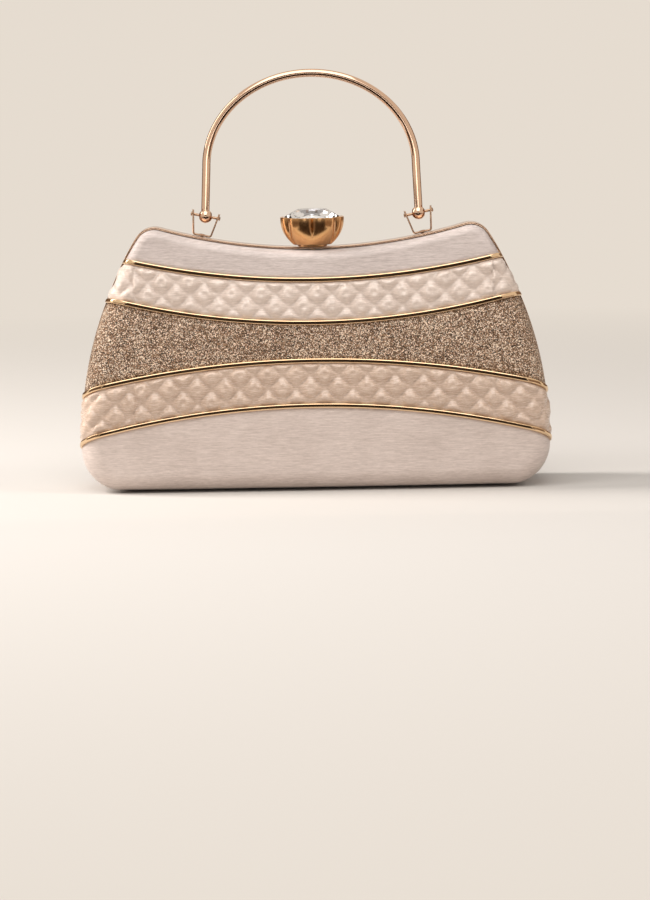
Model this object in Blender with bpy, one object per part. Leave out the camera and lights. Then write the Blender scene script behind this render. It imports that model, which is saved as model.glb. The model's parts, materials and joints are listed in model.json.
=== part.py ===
"""Satin clutch: two puffed, fabric-covered shells in a hinged gold frame, with a wire handle.

X runs to the right, Y to the back and Z up. The origin is under the middle of the bottom, on the
surface that the two hinges stand on. The parting plane of the two halves is Y = 0.
"""

import math

import bmesh
import bpy
from mathutils import Matrix, Vector

MM = 0.001

# Fits between pieces
SEAT_GAP = 0.3 * MM
PART_GAP = 0.15 * MM
CUT_OVERRUN = 4.0 * MM

# Outline of the fabric in the front view
HALF_WIDTH = 105.0 * MM
BASE_HEIGHT = 1.2 * MM
BOTTOM_CORNER_RADIUS = 18.0 * MM
SIDE_RADIUS = 169.0 * MM
SIDE_CENTRE_RISE = 2.0 * MM
TOP_DIP_HEIGHT = 105.5 * MM
TOP_RADIUS = 250.0 * MM
HUMP_RADIUS = 8.5 * MM

# Thickness of each half, from the parting plane to the face
DEPTH_BOTTOM = 26.0 * MM
DEPTH_TOP = 14.0 * MM
DEPTH_FULL_UP_TO = 26.0 * MM
DEPTH_THIN_FROM = TOP_DIP_HEIGHT + 10.5 * MM
FACE_CROWN = 1.6 * MM
TAPER_POWER = 1.5

# Rounding from the side walls to the face
EDGE_RADIUS_SIDE = 11.0 * MM
EDGE_RADIUS_TOP = 4.0 * MM
EDGE_RADIUS_BOTTOM = 8.0 * MM
EDGE_CHANGE_LOW = TOP_DIP_HEIGHT - 21.5 * MM
EDGE_CHANGE_HIGH = TOP_DIP_HEIGHT + 6.5 * MM

# Frame: an outer wall round the outline and a flange along the parting plane
FRAME_WALL = 0.8 * MM
FRAME_DEPTH = 5.0 * MM
FLANGE_WIDTH = 6.0 * MM
FLANGE_THICKNESS = 0.85 * MM
FRAME_INSET_SIDE = -0.35 * MM
FRAME_INSET_TOP = -1.1 * MM
FRAME_INSET_BOTTOM = 0.2 * MM

# Layers of each half, from outside to inside
FABRIC_THICKNESS = 0.8 * MM
SHELL_THICKNESS = 1.6 * MM
LINING_THICKNESS = 0.6 * MM

# Trim strips, from the top one down: height at the middle as shares of the body's height,
# and rise at the half width
TRIM_HEIGHT_SHARES = (0.8815, 0.7024, 0.5441, 0.3555)
TRIM_RISES = (15.2 * MM, 15.5 * MM, -12.5 * MM, -14.0 * MM)
TRIM_WRAP_DROP_SHARES = (0.2, 0.2, 0.35, 0.35)
TRIM_WIDTH = 2.1 * MM
TRIM_HEIGHT = 1.2 * MM
TRIM_SEAM = 1.0 * MM
TRIM_SIDES = 4

# Handle
HANDLE_DRAW_IN = 0.84 * MM
HANDLE_ARCH_HEIGHT = 41.3 * MM
HANDLE_LEG = 22.0 * MM
HANDLE_ROD_RADIUS = 1.85 * MM
BALL_RADIUS = 3.1 * MM
BALL_SOCKET_DEPTH = 1.0 * MM
BALL_BORE_RADIUS = 1.35 * MM

# Clips that carry the handle, seated on the back half's frame
CLIP_FROM_HUMP = 21.24 * MM
CLIP_BASE_WIDTH = 8.9 * MM
CLIP_STRIP = 0.75 * MM
CLIP_DEPTH = 4.2 * MM
CLIP_PIN_HEIGHT = 9.0 * MM
CLIP_EAR = 3.0 * MM
CLIP_SPLAY_DEG = 9.5
CLIP_BEND_RADIUS = 0.8 * MM
CLIP_CORNER_SHARE = 0.3
PIN_RADIUS = 0.6 * MM
PIN_HEAD_RADIUS = 1.1 * MM
PIN_HEAD_LENGTH = 0.6 * MM
PIN_CLEARANCE = 0.1 * MM
RIVET_RADIUS = 0.7 * MM
RIVET_HEAD_RADIUS = 1.5 * MM
RIVET_HEAD_HEIGHT = 0.35 * MM
RIVET_SHOULDER_SHARES = (0.8, 0.7)

# Clasp on the front half
CLASP_Y = -2.9 * MM
CUP_LOBES = 6
CUP_RIM_RADIUS = 14.3 * MM
CUP_HEIGHT = 12.2 * MM
CUP_FOOT_RADIUS = 8.6 * MM
CUP_GROOVE_SHARE = 0.13
CUP_GROOVE_POWER = 1.5
CUP_CURVE_POWER = 2.5
CUP_BOWL_FLOOR_RADIUS = 5.4 * MM
CUP_CLEARANCE = 1.2 * MM
CUP_RECESS_RADIUS = 7.2 * MM
CUP_RECESS_HEIGHT = 3.8 * MM
CUP_FLOOR = 1.0 * MM
COLLAR_RADIUS = 6.6 * MM
COLLAR_HEIGHT = 1.5 * MM
BUSH_RADIUS = 1.5 * MM
BUSH_BORE_RADIUS = 1.0 * MM
BUSH_LENGTH = 6.4 * MM
STEM_RADIUS = 0.9 * MM
SPRING_RADIUS = 2.4 * MM
SPRING_WIRE_RADIUS = 0.25 * MM
SPRING_TURNS = 3
CRYSTAL_GIRDLE_RADIUS = 12.9 * MM
CRYSTAL_GIRDLE_HEIGHT = 0.6 * MM
CRYSTAL_CROWN_HEIGHT = 3.6 * MM
CRYSTAL_PAVILION_DEPTH = 5.2 * MM
CRYSTAL_TABLE_SHARE = 0.5
CRYSTAL_STAR_SHARE = 0.78
CRYSTAL_STAR_HEIGHT_SHARE = 0.55
CRYSTAL_CULET_SHARE = 0.3

# Latch: a foot on the stem lies behind two barbs on the back half's catch
CATCH_THICKNESS = 1.0 * MM
CATCH_PRONG_WIDTH = 2.0 * MM
CATCH_SLOT_HALF = 1.8 * MM
CATCH_DROP = 3.6 * MM
CATCH_LAP = 1.0 * MM
BARB_THICKNESS = 1.2 * MM
BARB_HEIGHT = 1.0 * MM
FOOT_DEPTH = 3.0 * MM
FOOT_THICKNESS = 1.2 * MM
LATCH_GAP = 0.4 * MM

# Hinges under the bottom
HINGE_X = 63.0 * MM
HINGE_BARREL_RADIUS = 1.2 * MM
HINGE_PIN_RADIUS = 0.55 * MM
HINGE_PIN_CLEARANCE = 0.07 * MM
HINGE_KNUCKLE_OUTER = 3.9 * MM
HINGE_KNUCKLE_MIDDLE = 8.1 * MM
HINGE_KNUCKLE_GAP = 0.5 * MM
HINGE_LEAF_REACH = 5.0 * MM
HINGE_LEAF_THICKNESS = 1.1 * MM

# Counts of facets
CORNER_STEPS = 4
SIDE_STEPS = 5
HUMP_STEPS = 4
TOP_STEPS = 4
BOTTOM_STEPS = 2
WALL_LEVELS = (0.0, 1.0, 1.5, 2.0, 2.35, 2.7, 3.0)
LINING_LEVELS = (0.0, 1.0, 2.0, 2.5, 3.0)
TRIM_WALL_LEVELS = (1.18, 1.5, 1.85, 2.15, 2.4, 2.65, 2.9)
FACE_SHARES = (0.55,)
LINING_FACE_SHARES = (0.5,)
CUTTER_COLUMNS = 14
CUTTER_ROWS = 2
ROUND_SIDES = 16
SHARP_ANGLE_DEG = 35
TRIM_SEARCH_STEPS = 40
PIN_SIDES = 10
BALL_RINGS = 7
TRIM_FACE_STEPS = 12
HANDLE_ARCH_STEPS = 22
CUP_SIDES_PER_LOBE = 6
CUP_RINGS = 5
SPRING_STEPS_PER_TURN = 9
ROD_RESOLUTION = 3
NORMAL_STEP = 0.02


class Arc:
    """One round stretch of the outline, with the inward normal of the bag."""

    def __init__(self, centre, radius, start, end, hollow=False):
        self.centre = centre
        self.radius = radius
        self.start = start
        self.end = end
        self.hollow = hollow
        self.length = radius * abs(end - start)

    def at(self, share):
        angle = self.start + (self.end - self.start) * share
        out = (math.cos(angle), math.sin(angle))
        point = (self.centre[0] + self.radius * out[0], self.centre[1] + self.radius * out[1])
        side = 1 if self.hollow else -1
        return point, (side * out[0], side * out[1])


class Flat:
    """The straight stretch along the bottom, from the middle to the right corner."""

    def __init__(self, length, height):
        self.length = length
        self.height = height

    def at(self, share):
        return (self.length * share, self.height), (0.0, 1.0)


def circle_meeting(centre_a, radius_a, centre_b, radius_b):
    """Right-hand point that lies radius_a from centre_a and radius_b from centre_b."""
    between = Vector(centre_b) - Vector(centre_a)
    span = between.length
    along = (radius_a ** 2 - radius_b ** 2 + span ** 2) / (2 * span)
    across = math.sqrt(radius_a ** 2 - along ** 2)
    unit = between / span
    foot = Vector(centre_a) + unit * along
    first = (foot.x + unit.y * across, foot.y - unit.x * across)
    second = (foot.x - unit.y * across, foot.y + unit.x * across)
    return max(first, second)


def outline_arcs():
    """Right half of the outline, from the middle of the bottom to the middle of the top."""
    corner = (HALF_WIDTH - BOTTOM_CORNER_RADIUS, BASE_HEIGHT + BOTTOM_CORNER_RADIUS)
    reach = SIDE_RADIUS - BOTTOM_CORNER_RADIUS
    side = (corner[0] - math.sqrt(reach ** 2 - SIDE_CENTRE_RISE ** 2), corner[1] + SIDE_CENTRE_RISE)
    top = (0.0, BASE_HEIGHT + TOP_DIP_HEIGHT + TOP_RADIUS)
    hump = circle_meeting(side, SIDE_RADIUS - HUMP_RADIUS, top, TOP_RADIUS + HUMP_RADIUS)
    low = math.atan2(corner[1] - side[1], corner[0] - side[0])
    high = math.atan2(hump[1] - side[1], hump[0] - side[0])
    turn = math.atan2(top[1] - hump[1], top[0] - hump[0])
    return (
        (Flat(corner[0], BASE_HEIGHT), BOTTOM_STEPS),
        (Arc(corner, BOTTOM_CORNER_RADIUS, -math.pi / 2, low), CORNER_STEPS),
        (Arc(side, SIDE_RADIUS, low, high), SIDE_STEPS),
        (Arc(hump, HUMP_RADIUS, high, turn), HUMP_STEPS),
        (Arc(top, TOP_RADIUS, turn - math.pi, -math.pi / 2, hollow=True), TOP_STEPS),
    )


OUTLINE = outline_arcs()
HUMP_STRETCH = 3


def outline_at(place):
    """Point and inward normal at a place along the right half: stretch number plus share."""
    number = min(int(place), len(OUTLINE) - 1)
    return OUTLINE[number][0].at(place - number)


def right_places():
    """Places of the stations on the right half, from the bottom's middle to the top's middle."""
    places = []
    for number, (_, steps) in enumerate(OUTLINE):
        places += [number + step / steps for step in range(steps)]
    places.append(float(len(OUTLINE)))
    return places


def smooth_step(value, low, high):
    share = min(1.0, max(0.0, (value - low) / (high - low)))
    return share * share * (3 - 2 * share)


def face_depth(x, z):
    """Distance from the parting plane to the face of a half."""
    share = (z - DEPTH_FULL_UP_TO) / (DEPTH_THIN_FROM - DEPTH_FULL_UP_TO)
    share = min(1.0, max(0.0, share))
    crown = FACE_CROWN * (x / HALF_WIDTH) ** 2
    return DEPTH_BOTTOM - (DEPTH_BOTTOM - DEPTH_TOP) * share ** TAPER_POWER - crown


def weights(point, normal):
    """How much a place on the outline belongs to the top and to the bottom."""
    top = smooth_step(point[1], EDGE_CHANGE_LOW, EDGE_CHANGE_HIGH)
    bottom = max(0.0, normal[1]) ** 2 if point[1] < EDGE_CHANGE_LOW else 0.0
    return top, bottom


def blend(side, top, bottom, share_top, share_bottom):
    return side + (top - side) * share_top + (bottom - side) * share_bottom


def edge_radius(point, normal):
    return blend(EDGE_RADIUS_SIDE, EDGE_RADIUS_TOP, EDGE_RADIUS_BOTTOM, *weights(point, normal))


def frame_inset(point, normal):
    return blend(FRAME_INSET_SIDE, FRAME_INSET_TOP, FRAME_INSET_BOTTOM, *weights(point, normal))


def wall_point(place, level):
    """Point on the fabric of the front half.

    Levels 0 to 1 run inside the frame, 1 to 2 up the puffed wall and 2 to 3 round the edge.
    """
    point, normal = outline_at(place)
    radius = edge_radius(point, normal)
    rim = frame_inset(point, normal) + FRAME_WALL + SEAT_GAP
    start = PART_GAP + FLANGE_THICKNESS + SEAT_GAP
    mouth = FRAME_DEPTH + SEAT_GAP
    face_x = point[0] + normal[0] * radius
    face_z = point[1] + normal[1] * radius
    shoulder = face_depth(face_x, face_z) - radius
    if level <= 1:
        inset = rim
        depth = start + (mouth - start) * level
    elif level <= 2:
        inset = rim * (2 - level) ** 2
        depth = mouth + (shoulder - mouth) * (level - 1)
    else:
        turn = (level - 2) * math.pi / 2
        inset = radius * (1 - math.cos(turn))
        depth = shoulder + radius * math.sin(turn)
    return Vector((point[0] + normal[0] * inset, -depth, point[1] + normal[1] * inset))


def wall_normal(place, level):
    """Outward normal of the fabric at a wall point."""
    if level <= 1:
        _, normal = outline_at(place)
        return Vector((-normal[0], 0.0, -normal[1]))
    whole = int(place)
    low = max(whole, place - NORMAL_STEP) if place < len(OUTLINE) else place - NORMAL_STEP
    high = place if place >= len(OUTLINE) else place + NORMAL_STEP
    along = wall_point(high, level) - wall_point(low, level)
    up = wall_point(place, min(3.0, level + NORMAL_STEP)) - wall_point(place, level - NORMAL_STEP)
    return along.cross(up).normalized()


def face_point(x, z):
    return Vector((x, -face_depth(x, z), z))


def face_normal(x, z):
    step = FRAME_WALL
    slope_x = (face_depth(x + step, z) - face_depth(x - step, z)) / (2 * step)
    slope_z = (face_depth(x, z + step) - face_depth(x, z - step)) / (2 * step)
    return Vector((-slope_x, -1.0, -slope_z)).normalized()


def half_rows(levels, shares):
    """Rings of (point, outward normal) round the front half, from the frame to the middle."""
    rows = []
    for level in levels:
        right = [(wall_point(place, level), wall_normal(place, level)) for place in right_places()]
        rows.append(close_ring(right))
    middle_z = (BASE_HEIGHT + TOP_DIP_HEIGHT) / 2
    last = rows[-1]
    for share in shares:
        ring = []
        for point, _ in last:
            x = point.x * share
            z = middle_z + (point.z - middle_z) * share
            ring.append((face_point(x, z), face_normal(x, z)))
        rows.append(ring)
    rows.append([(face_point(0.0, middle_z), face_normal(0.0, middle_z))])
    return rows


def close_ring(right):
    """A right half and its mirror image as one ring that starts at the bottom's middle."""
    left = [(Vector((-p.x, p.y, p.z)), Vector((-n.x, n.y, n.z))) for p, n in right[1:-1]]
    ends = (right[0], right[-1])
    for _, normal in ends:
        normal.x = 0.0
        normal.normalize()
    return right + left[::-1]


def add_ring(bm, points):
    return [bm.verts.new(point) for point in points]


def bridge_rings(bm, first, second):
    """Triangles between two closed rings of as many points, or a fan to a single point.

    Layers that lie on each other get the same diagonals, so the gap between them stays even.
    """
    if len(second) == 1:
        for index, vert in enumerate(first):
            bm.faces.new((vert, first[(index + 1) % len(first)], second[0]))
        return
    for index, vert in enumerate(first):
        after = (index + 1) % len(first)
        bm.faces.new((vert, first[after], second[after]))
        bm.faces.new((vert, second[after], second[index]))


def finish_mesh(bm, name):
    """Turn the faces of a closed bmesh outwards and make a mesh of it."""
    bmesh.ops.recalc_face_normals(bm, faces=bm.faces)
    if bm.calc_volume(signed=True) < 0:
        bmesh.ops.reverse_faces(bm, faces=bm.faces)
    mesh = bpy.data.meshes.new(name)
    bm.to_mesh(mesh)
    bm.free()
    mesh.shade_smooth()
    mesh.set_sharp_from_angle(angle=math.radians(SHARP_ANGLE_DEG))
    return mesh


def layer_mesh(name, outer, inner, levels, shares):
    """Closed layer between two depths under the fabric's outer surface."""
    bm = bmesh.new()
    rows = half_rows(levels, shares)
    skins = []
    for depth in (outer, inner):
        rings = [add_ring(bm, [point - normal * depth for point, normal in row]) for row in rows]
        for first, second in zip(rings, rings[1:]):
            bridge_rings(bm, first, second)
        skins.append(rings)
    bridge_rings(bm, skins[0][0], skins[1][0])
    return finish_mesh(bm, name)


def frame_mesh(name):
    """L-shaped ring: a wall round the outline and a flange along the parting plane."""
    bm = bmesh.new()
    right = [outline_at(place) for place in right_places()]
    left = [((-p[0], p[1]), (-n[0], n[1])) for p, n in right[1:-1]]
    sections = []
    for point, normal in right + left[::-1]:
        outer = frame_inset(point, normal)
        profile = (
            (outer, PART_GAP),
            (outer, FRAME_DEPTH),
            (outer + FRAME_WALL, FRAME_DEPTH),
            (outer + FRAME_WALL, PART_GAP + FLANGE_THICKNESS),
            (outer + FLANGE_WIDTH, PART_GAP + FLANGE_THICKNESS),
            (outer + FLANGE_WIDTH, PART_GAP),
        )
        ring = [(point[0] + normal[0] * i, -d, point[1] + normal[1] * i) for i, d in profile]
        sections.append(add_ring(bm, ring))
    for index, section in enumerate(sections):
        bridge_rings(bm, section, sections[(index + 1) % len(sections)])
    return finish_mesh(bm, name)


def mirrored_mesh(mesh, name):
    """Copy of a front mesh for the back half."""
    bm = bmesh.new()
    bm.from_mesh(mesh)
    bm.transform(Matrix.Scale(-1, 4, (0, 1, 0)))
    bmesh.ops.reverse_faces(bm, faces=bm.faces)
    return finish_mesh(bm, name)


def trim_middle(number):
    return BASE_HEIGHT + TOP_DIP_HEIGHT * TRIM_HEIGHT_SHARES[number]


def trim_height(number, x, depth):
    """Height of a trim strip's middle line at a place on the bag."""
    height = trim_middle(number) + TRIM_RISES[number] * (x / HALF_WIDTH) ** 2
    return height - TRIM_WRAP_DROP_SHARES[number] * (face_depth(x, height) - depth)


def trim_wall_place(number, level):
    """Place on the outline where the strip crosses one level of the wall."""
    low = 1.0
    high = 4.0
    for _ in range(TRIM_SEARCH_STEPS):
        middle = (low + high) / 2
        point = wall_point(middle, level)
        if point.z < trim_height(number, point.x, -point.y):
            low = middle
        else:
            high = middle
    return (low + high) / 2


def trim_route(number):
    """Points and surface normals along a strip, from the right end to the left end."""
    wall = []
    for level in TRIM_WALL_LEVELS:
        place = trim_wall_place(number, level)
        wall.append((wall_point(place, level), wall_normal(place, level)))
    edge = wall_point(trim_wall_place(number, 3.0), 3.0).x
    face = []
    for step in range(TRIM_FACE_STEPS + 1):
        x = edge * (1 - 2 * step / TRIM_FACE_STEPS)
        z = trim_height(number, x, face_depth(x, trim_middle(number)))
        z = trim_height(number, x, face_depth(x, z))
        face.append((face_point(x, z), face_normal(x, z)))
    back = [(Vector((-p.x, p.y, p.z)), Vector((-n.x, n.y, n.z))) for p, n in wall[::-1]]
    return wall + face + back


def trim_mesh(number, name):
    """Half-round strip that lies on the fabric along its route."""
    route = trim_route(number)
    bm = bmesh.new()
    rings = []
    for index, (point, normal) in enumerate(route):
        before = route[max(0, index - 1)][0]
        after = route[min(len(route) - 1, index + 1)][0]
        tangent = (after - before).normalized()
        across = tangent.cross(normal).normalized()
        ring = []
        for side in range(TRIM_SIDES + 1):
            angle = math.pi * side / TRIM_SIDES
            lift = SEAT_GAP + TRIM_HEIGHT * math.sin(angle)
            ring.append(point + across * (TRIM_WIDTH / 2 * math.cos(angle)) + normal * lift)
        rings.append(add_ring(bm, ring))
    for first, second in zip(rings, rings[1:]):
        bridge_rings(bm, first, second)
    bm.faces.new(rings[0])
    bm.faces.new(rings[-1])
    return finish_mesh(bm, name)


def band_cutter(name, lower, upper):
    """Solid that covers one fabric band, between two trim numbers or an open end."""
    bm = bmesh.new()
    reach_x = HALF_WIDTH + CUT_OVERRUN
    reach_y = DEPTH_BOTTOM + CUT_OVERRUN
    bag_top = BASE_HEIGHT + TOP_DIP_HEIGHT + HUMP_RADIUS * 2
    sheets = []
    for number, side in ((lower, 1), (upper, -1)):
        sheet = []
        for row in range(CUTTER_ROWS + 1):
            y = reach_y * (2 * row / CUTTER_ROWS - 1)
            line = []
            for column in range(CUTTER_COLUMNS + 1):
                x = reach_x * (2 * column / CUTTER_COLUMNS - 1)
                if number is None:
                    z = -CUT_OVERRUN if side > 0 else bag_top + CUT_OVERRUN
                else:
                    z = trim_height(number, x, abs(y)) + side * TRIM_SEAM / 2
                line.append(bm.verts.new((x, y, z)))
            sheet.append(line)
        for row in range(CUTTER_ROWS):
            for column in range(CUTTER_COLUMNS):
                a = sheet[row][column]
                b = sheet[row][column + 1]
                c = sheet[row + 1][column + 1]
                d = sheet[row + 1][column]
                bm.faces.new((a, b, c, d))
        sheets.append(sheet)
    bridge_rings(bm, sheet_border(sheets[0]), sheet_border(sheets[1]))
    return new_cutter(name, finish_mesh(bm, name))


def sheet_border(sheet):
    """Vertices round the edge of a grid, in order."""
    bottom = sheet[0]
    top = sheet[-1][::-1]
    right = [line[-1] for line in sheet[1:-1]]
    left = [line[0] for line in sheet[1:-1]][::-1]
    return bottom + right + top + left


def new_material(name, colour, roughness, metallic, transmission=0.0):
    material = bpy.data.materials.new(name)
    material.use_nodes = True
    material.diffuse_color = (*colour, 1.0)
    shader = material.node_tree.nodes["Principled BSDF"]
    shader.inputs["Base Color"].default_value = (*colour, 1.0)
    shader.inputs["Roughness"].default_value = roughness
    shader.inputs["Metallic"].default_value = metallic
    shader.inputs["Transmission Weight"].default_value = transmission
    return material


def new_parent(name, place):
    """Empty on a joint's axis that carries a moving body."""
    empty = bpy.data.objects.new(name, None)
    empty.location = place
    bpy.context.scene.collection.objects.link(empty)
    return empty


def new_object(name, mesh, material, parent, matrix=None):
    """Object that keeps its place in the world under its body's empty."""
    obj = bpy.data.objects.new(name, mesh)
    mesh.materials.clear()
    mesh.materials.append(material)
    bpy.context.scene.collection.objects.link(obj)
    obj.parent = parent
    obj.matrix_parent_inverse = Matrix.Translation(-Vector(parent.location))
    if matrix is not None:
        obj.matrix_basis = matrix
    return obj


def new_cutter(name, mesh):
    cutter = bpy.data.objects.new(name, mesh)
    bpy.context.scene.collection.objects.link(cutter)
    cutter.hide_render = True
    cutter.display_type = "WIRE"
    return cutter


def apply_boolean(obj, cutter, operation="DIFFERENCE"):
    modifier = obj.modifiers.new(cutter.name, "BOOLEAN")
    modifier.operation = operation
    modifier.solver = "EXACT"
    modifier.object = cutter


def turned_mesh(name, profile, sides=ROUND_SIDES):
    """Solid of revolution about Z from (radius, height) points that start and end on the axis."""
    bm = bmesh.new()
    rings = []
    for radius, height in profile:
        if radius == 0:
            rings.append([bm.verts.new((0, 0, height))])
            continue
        turns = [2 * math.pi * side / sides for side in range(sides)]
        rings.append(add_ring(bm, [(radius * math.cos(a), radius * math.sin(a), height) for a in turns]))
    for first, second in zip(rings, rings[1:]):
        if len(first) == 1:
            bridge_rings(bm, second, first)
        else:
            bridge_rings(bm, first, second)
    return finish_mesh(bm, name)


def tube_mesh(name, profile, sides=ROUND_SIDES):
    """Ring-shaped solid from a closed (radius, height) profile clear of the axis."""
    bm = bmesh.new()
    rings = []
    turns = [2 * math.pi * side / sides for side in range(sides)]
    for radius, height in profile:
        rings.append(add_ring(bm, [(radius * math.cos(a), radius * math.sin(a), height) for a in turns]))
    for index, ring in enumerate(rings):
        bridge_rings(bm, ring, rings[(index + 1) % len(rings)])
    return finish_mesh(bm, name)


def box_mesh(name, low, high):
    bm = bmesh.new()
    size = [b - a for a, b in zip(low, high)]
    centre = [(a + b) / 2 for a, b in zip(low, high)]
    matrix = Matrix.Translation(centre) @ Matrix.Diagonal((*size, 1.0))
    bmesh.ops.create_cube(bm, size=1.0, matrix=matrix)
    return finish_mesh(bm, name)


def prism_mesh(name, outline, low_y, high_y):
    """Solid with an (x, z) outline between two places along Y."""
    bm = bmesh.new()
    near = add_ring(bm, [(x, low_y, z) for x, z in outline])
    far = add_ring(bm, [(x, high_y, z) for x, z in outline])
    bridge_rings(bm, near, far)
    bm.faces.new(near)
    bm.faces.new(far)
    return finish_mesh(bm, name)


def cylinder_cutter(name, radius, length, matrix):
    """Cutter about its own Z axis, centred on it."""
    profile = ((0, -length / 2), (radius, -length / 2), (radius, length / 2), (0, length / 2))
    cutter = new_cutter(name, turned_mesh(name, profile, PIN_SIDES))
    cutter.matrix_world = matrix
    return cutter


def along_x(place):
    return Matrix.Translation(place) @ Matrix.Rotation(math.pi / 2, 4, "Y")


# The two halves

def build_halves(parents, looks):
    """Frames, shells, linings and fabric bands of both halves."""
    shell_top = FABRIC_THICKNESS + SEAT_GAP
    lining_top = shell_top + SHELL_THICKNESS + SEAT_GAP
    layers = {
        "shell": layer_mesh("front_shell", shell_top, shell_top + SHELL_THICKNESS, WALL_LEVELS, FACE_SHARES),
        "lining": layer_mesh(
            "front_lining", lining_top, lining_top + LINING_THICKNESS, LINING_LEVELS, LINING_FACE_SHARES
        ),
        "frame": frame_mesh("front_frame"),
    }
    fabric = layer_mesh("front_fabric", 0.0, FABRIC_THICKNESS, WALL_LEVELS, FACE_SHARES)
    cutters = {
        "satin_top": band_cutter("cut_satin_top", 0, None),
        "quilt_upper": band_cutter("cut_quilt_upper", 1, 0),
        "glitter_band": band_cutter("cut_glitter_band", 2, 1),
        "quilt_lower": band_cutter("cut_quilt_lower", 3, 2),
        "satin_bottom": band_cutter("cut_satin_bottom", None, 3),
    }
    pieces = {}
    for side in ("front", "back"):
        for part, mesh in layers.items():
            own = mesh.copy() if side == "front" else mirrored_mesh(mesh, f"back_{part}")
            pieces[f"{side}_{part}"] = new_object(f"{side}_{part}", own, looks[part], parents[side])
        for band, cutter in cutters.items():
            own = fabric.copy() if side == "front" else mirrored_mesh(fabric, f"back_{band}")
            name = f"{side}_{band}"
            pieces[name] = new_object(name, own, looks[band.split("_")[0]], parents[side])
            apply_boolean(pieces[name], cutter, "INTERSECT")
        for number in range(len(TRIM_HEIGHT_SHARES)):
            name = f"{side}_trim_{number + 1}"
            mesh = trim_mesh(number, name)
            own = mesh if side == "front" else mirrored_mesh(mesh, name)
            pieces[name] = new_object(name, own, looks["trim"], parents[side])
    return pieces


# Handle and its clips

def frame_top_seat(x):
    """Point and outward normal on the frame's top at a distance from the middle."""
    radius = TOP_RADIUS + FRAME_INSET_TOP
    centre_z = BASE_HEIGHT + TOP_DIP_HEIGHT + TOP_RADIUS
    tilt = math.asin(x / radius)
    return Vector((x, 0.0, centre_z - radius * math.cos(tilt))), tilt


def clip_matrix(side):
    """Frame of a clip: its Z leads out of the frame's top, its Y is the bag's Y."""
    hump = OUTLINE[HUMP_STRETCH][0]
    point, tilt = frame_top_seat(hump.centre[0] - CLIP_FROM_HUMP)
    normal = Vector((-math.sin(tilt), 0.0, math.cos(tilt)))
    seat = point + normal * SEAT_GAP
    seat.x *= side
    seat.y = PART_GAP + FRAME_DEPTH / 2
    return Matrix.Translation(seat) @ Matrix.Rotation(-side * tilt, 4, "Y")


def handle_pivot():
    """Middle of the right ball: the handle turns about the X line through it."""
    return (clip_matrix(1) @ Matrix.Translation((0, 0, CLIP_PIN_HEIGHT))).translation


def clip_outline():
    """Outline of the bent strip in the clip's own X and Z, once round."""
    splay = math.radians(CLIP_SPLAY_DEG)
    half = CLIP_BASE_WIDTH / 2
    top = CLIP_PIN_HEIGHT + CLIP_EAR
    bend = CLIP_BEND_RADIUS
    lean = math.tan(splay)
    corner = bend * CLIP_CORNER_SHARE
    outer = [(half - bend, 0.0), (half - corner, corner), (half + bend * lean, bend)]
    outer.append((half + top * lean, top))
    strip_x = CLIP_STRIP / math.cos(splay)
    inner = [(half + top * lean - strip_x, top), (half + CLIP_STRIP * lean - strip_x, CLIP_STRIP)]
    right = outer + inner
    return right + [(-x, z) for x, z in right[::-1]]


def build_handle(parents, looks, pieces):
    """Handle bow and balls, with the clips, pins and rivets that carry them."""
    pivot = handle_pivot()
    pieces["handle_bow"] = handle_bow(parents["handle"], looks["handle"], pivot)
    ball = turned_mesh("handle_ball", ball_profile(), ROUND_SIDES)
    for side, word in ((-1, "left"), (1, "right")):
        centre = Vector((side * pivot.x, pivot.y, pivot.z))
        name = f"handle_ball_{word}"
        place = Matrix.Translation(centre)
        pieces[name] = new_object(name, ball.copy(), looks["handle"], parents["handle"], place)
        through = BALL_RADIUS * 2 + CUT_OVERRUN
        bore = cylinder_cutter(f"cut_bore_{word}", BALL_BORE_RADIUS, through, along_x(centre))
        socket_top = Matrix.Translation(centre + Vector((0, 0, BALL_RADIUS * 2 - BALL_SOCKET_DEPTH)))
        socket = cylinder_cutter(
            f"cut_socket_{word}", HANDLE_ROD_RADIUS + SEAT_GAP, BALL_RADIUS * 2, socket_top
        )
        apply_boolean(pieces[name], bore)
        apply_boolean(pieces[name], socket)
        build_clip(side, word, parents["back"], looks, pieces)


def ball_profile():
    turns = [math.pi * (step / BALL_RINGS - 0.5) for step in range(BALL_RINGS + 1)]
    profile = [(BALL_RADIUS * math.cos(turn), BALL_RADIUS * math.sin(turn)) for turn in turns]
    return [(0, -BALL_RADIUS)] + profile[1:-1] + [(0, BALL_RADIUS)]


def handle_bow(parent, material, pivot):
    """Round rod: two nearly straight legs and half an ellipse."""
    foot = BALL_RADIUS - BALL_SOCKET_DEPTH + SEAT_GAP
    points = [(pivot.x, foot), (pivot.x, BALL_RADIUS)]
    half_span = pivot.x - HANDLE_DRAW_IN
    points.append(((pivot.x + half_span) / 2, (BALL_RADIUS + HANDLE_LEG) / 2))
    for step in range(HANDLE_ARCH_STEPS + 1):
        angle = math.pi * step / HANDLE_ARCH_STEPS
        x = half_span * math.cos(angle)
        points.append((x, HANDLE_LEG + HANDLE_ARCH_HEIGHT * math.sin(angle)))
    points += [(-x, z) for x, z in points[2::-1]]
    curve = bpy.data.curves.new("handle_bow", "CURVE")
    curve.dimensions = "3D"
    curve.bevel_depth = HANDLE_ROD_RADIUS
    curve.bevel_resolution = ROD_RESOLUTION
    curve.use_fill_caps = True
    spline = curve.splines.new("POLY")
    spline.points.add(len(points) - 1)
    for index, (x, z) in enumerate(points):
        spline.points[index].co = (x, pivot.y, pivot.z + z, 1.0)
    return new_object("handle_bow", curve, material, parent)


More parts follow.
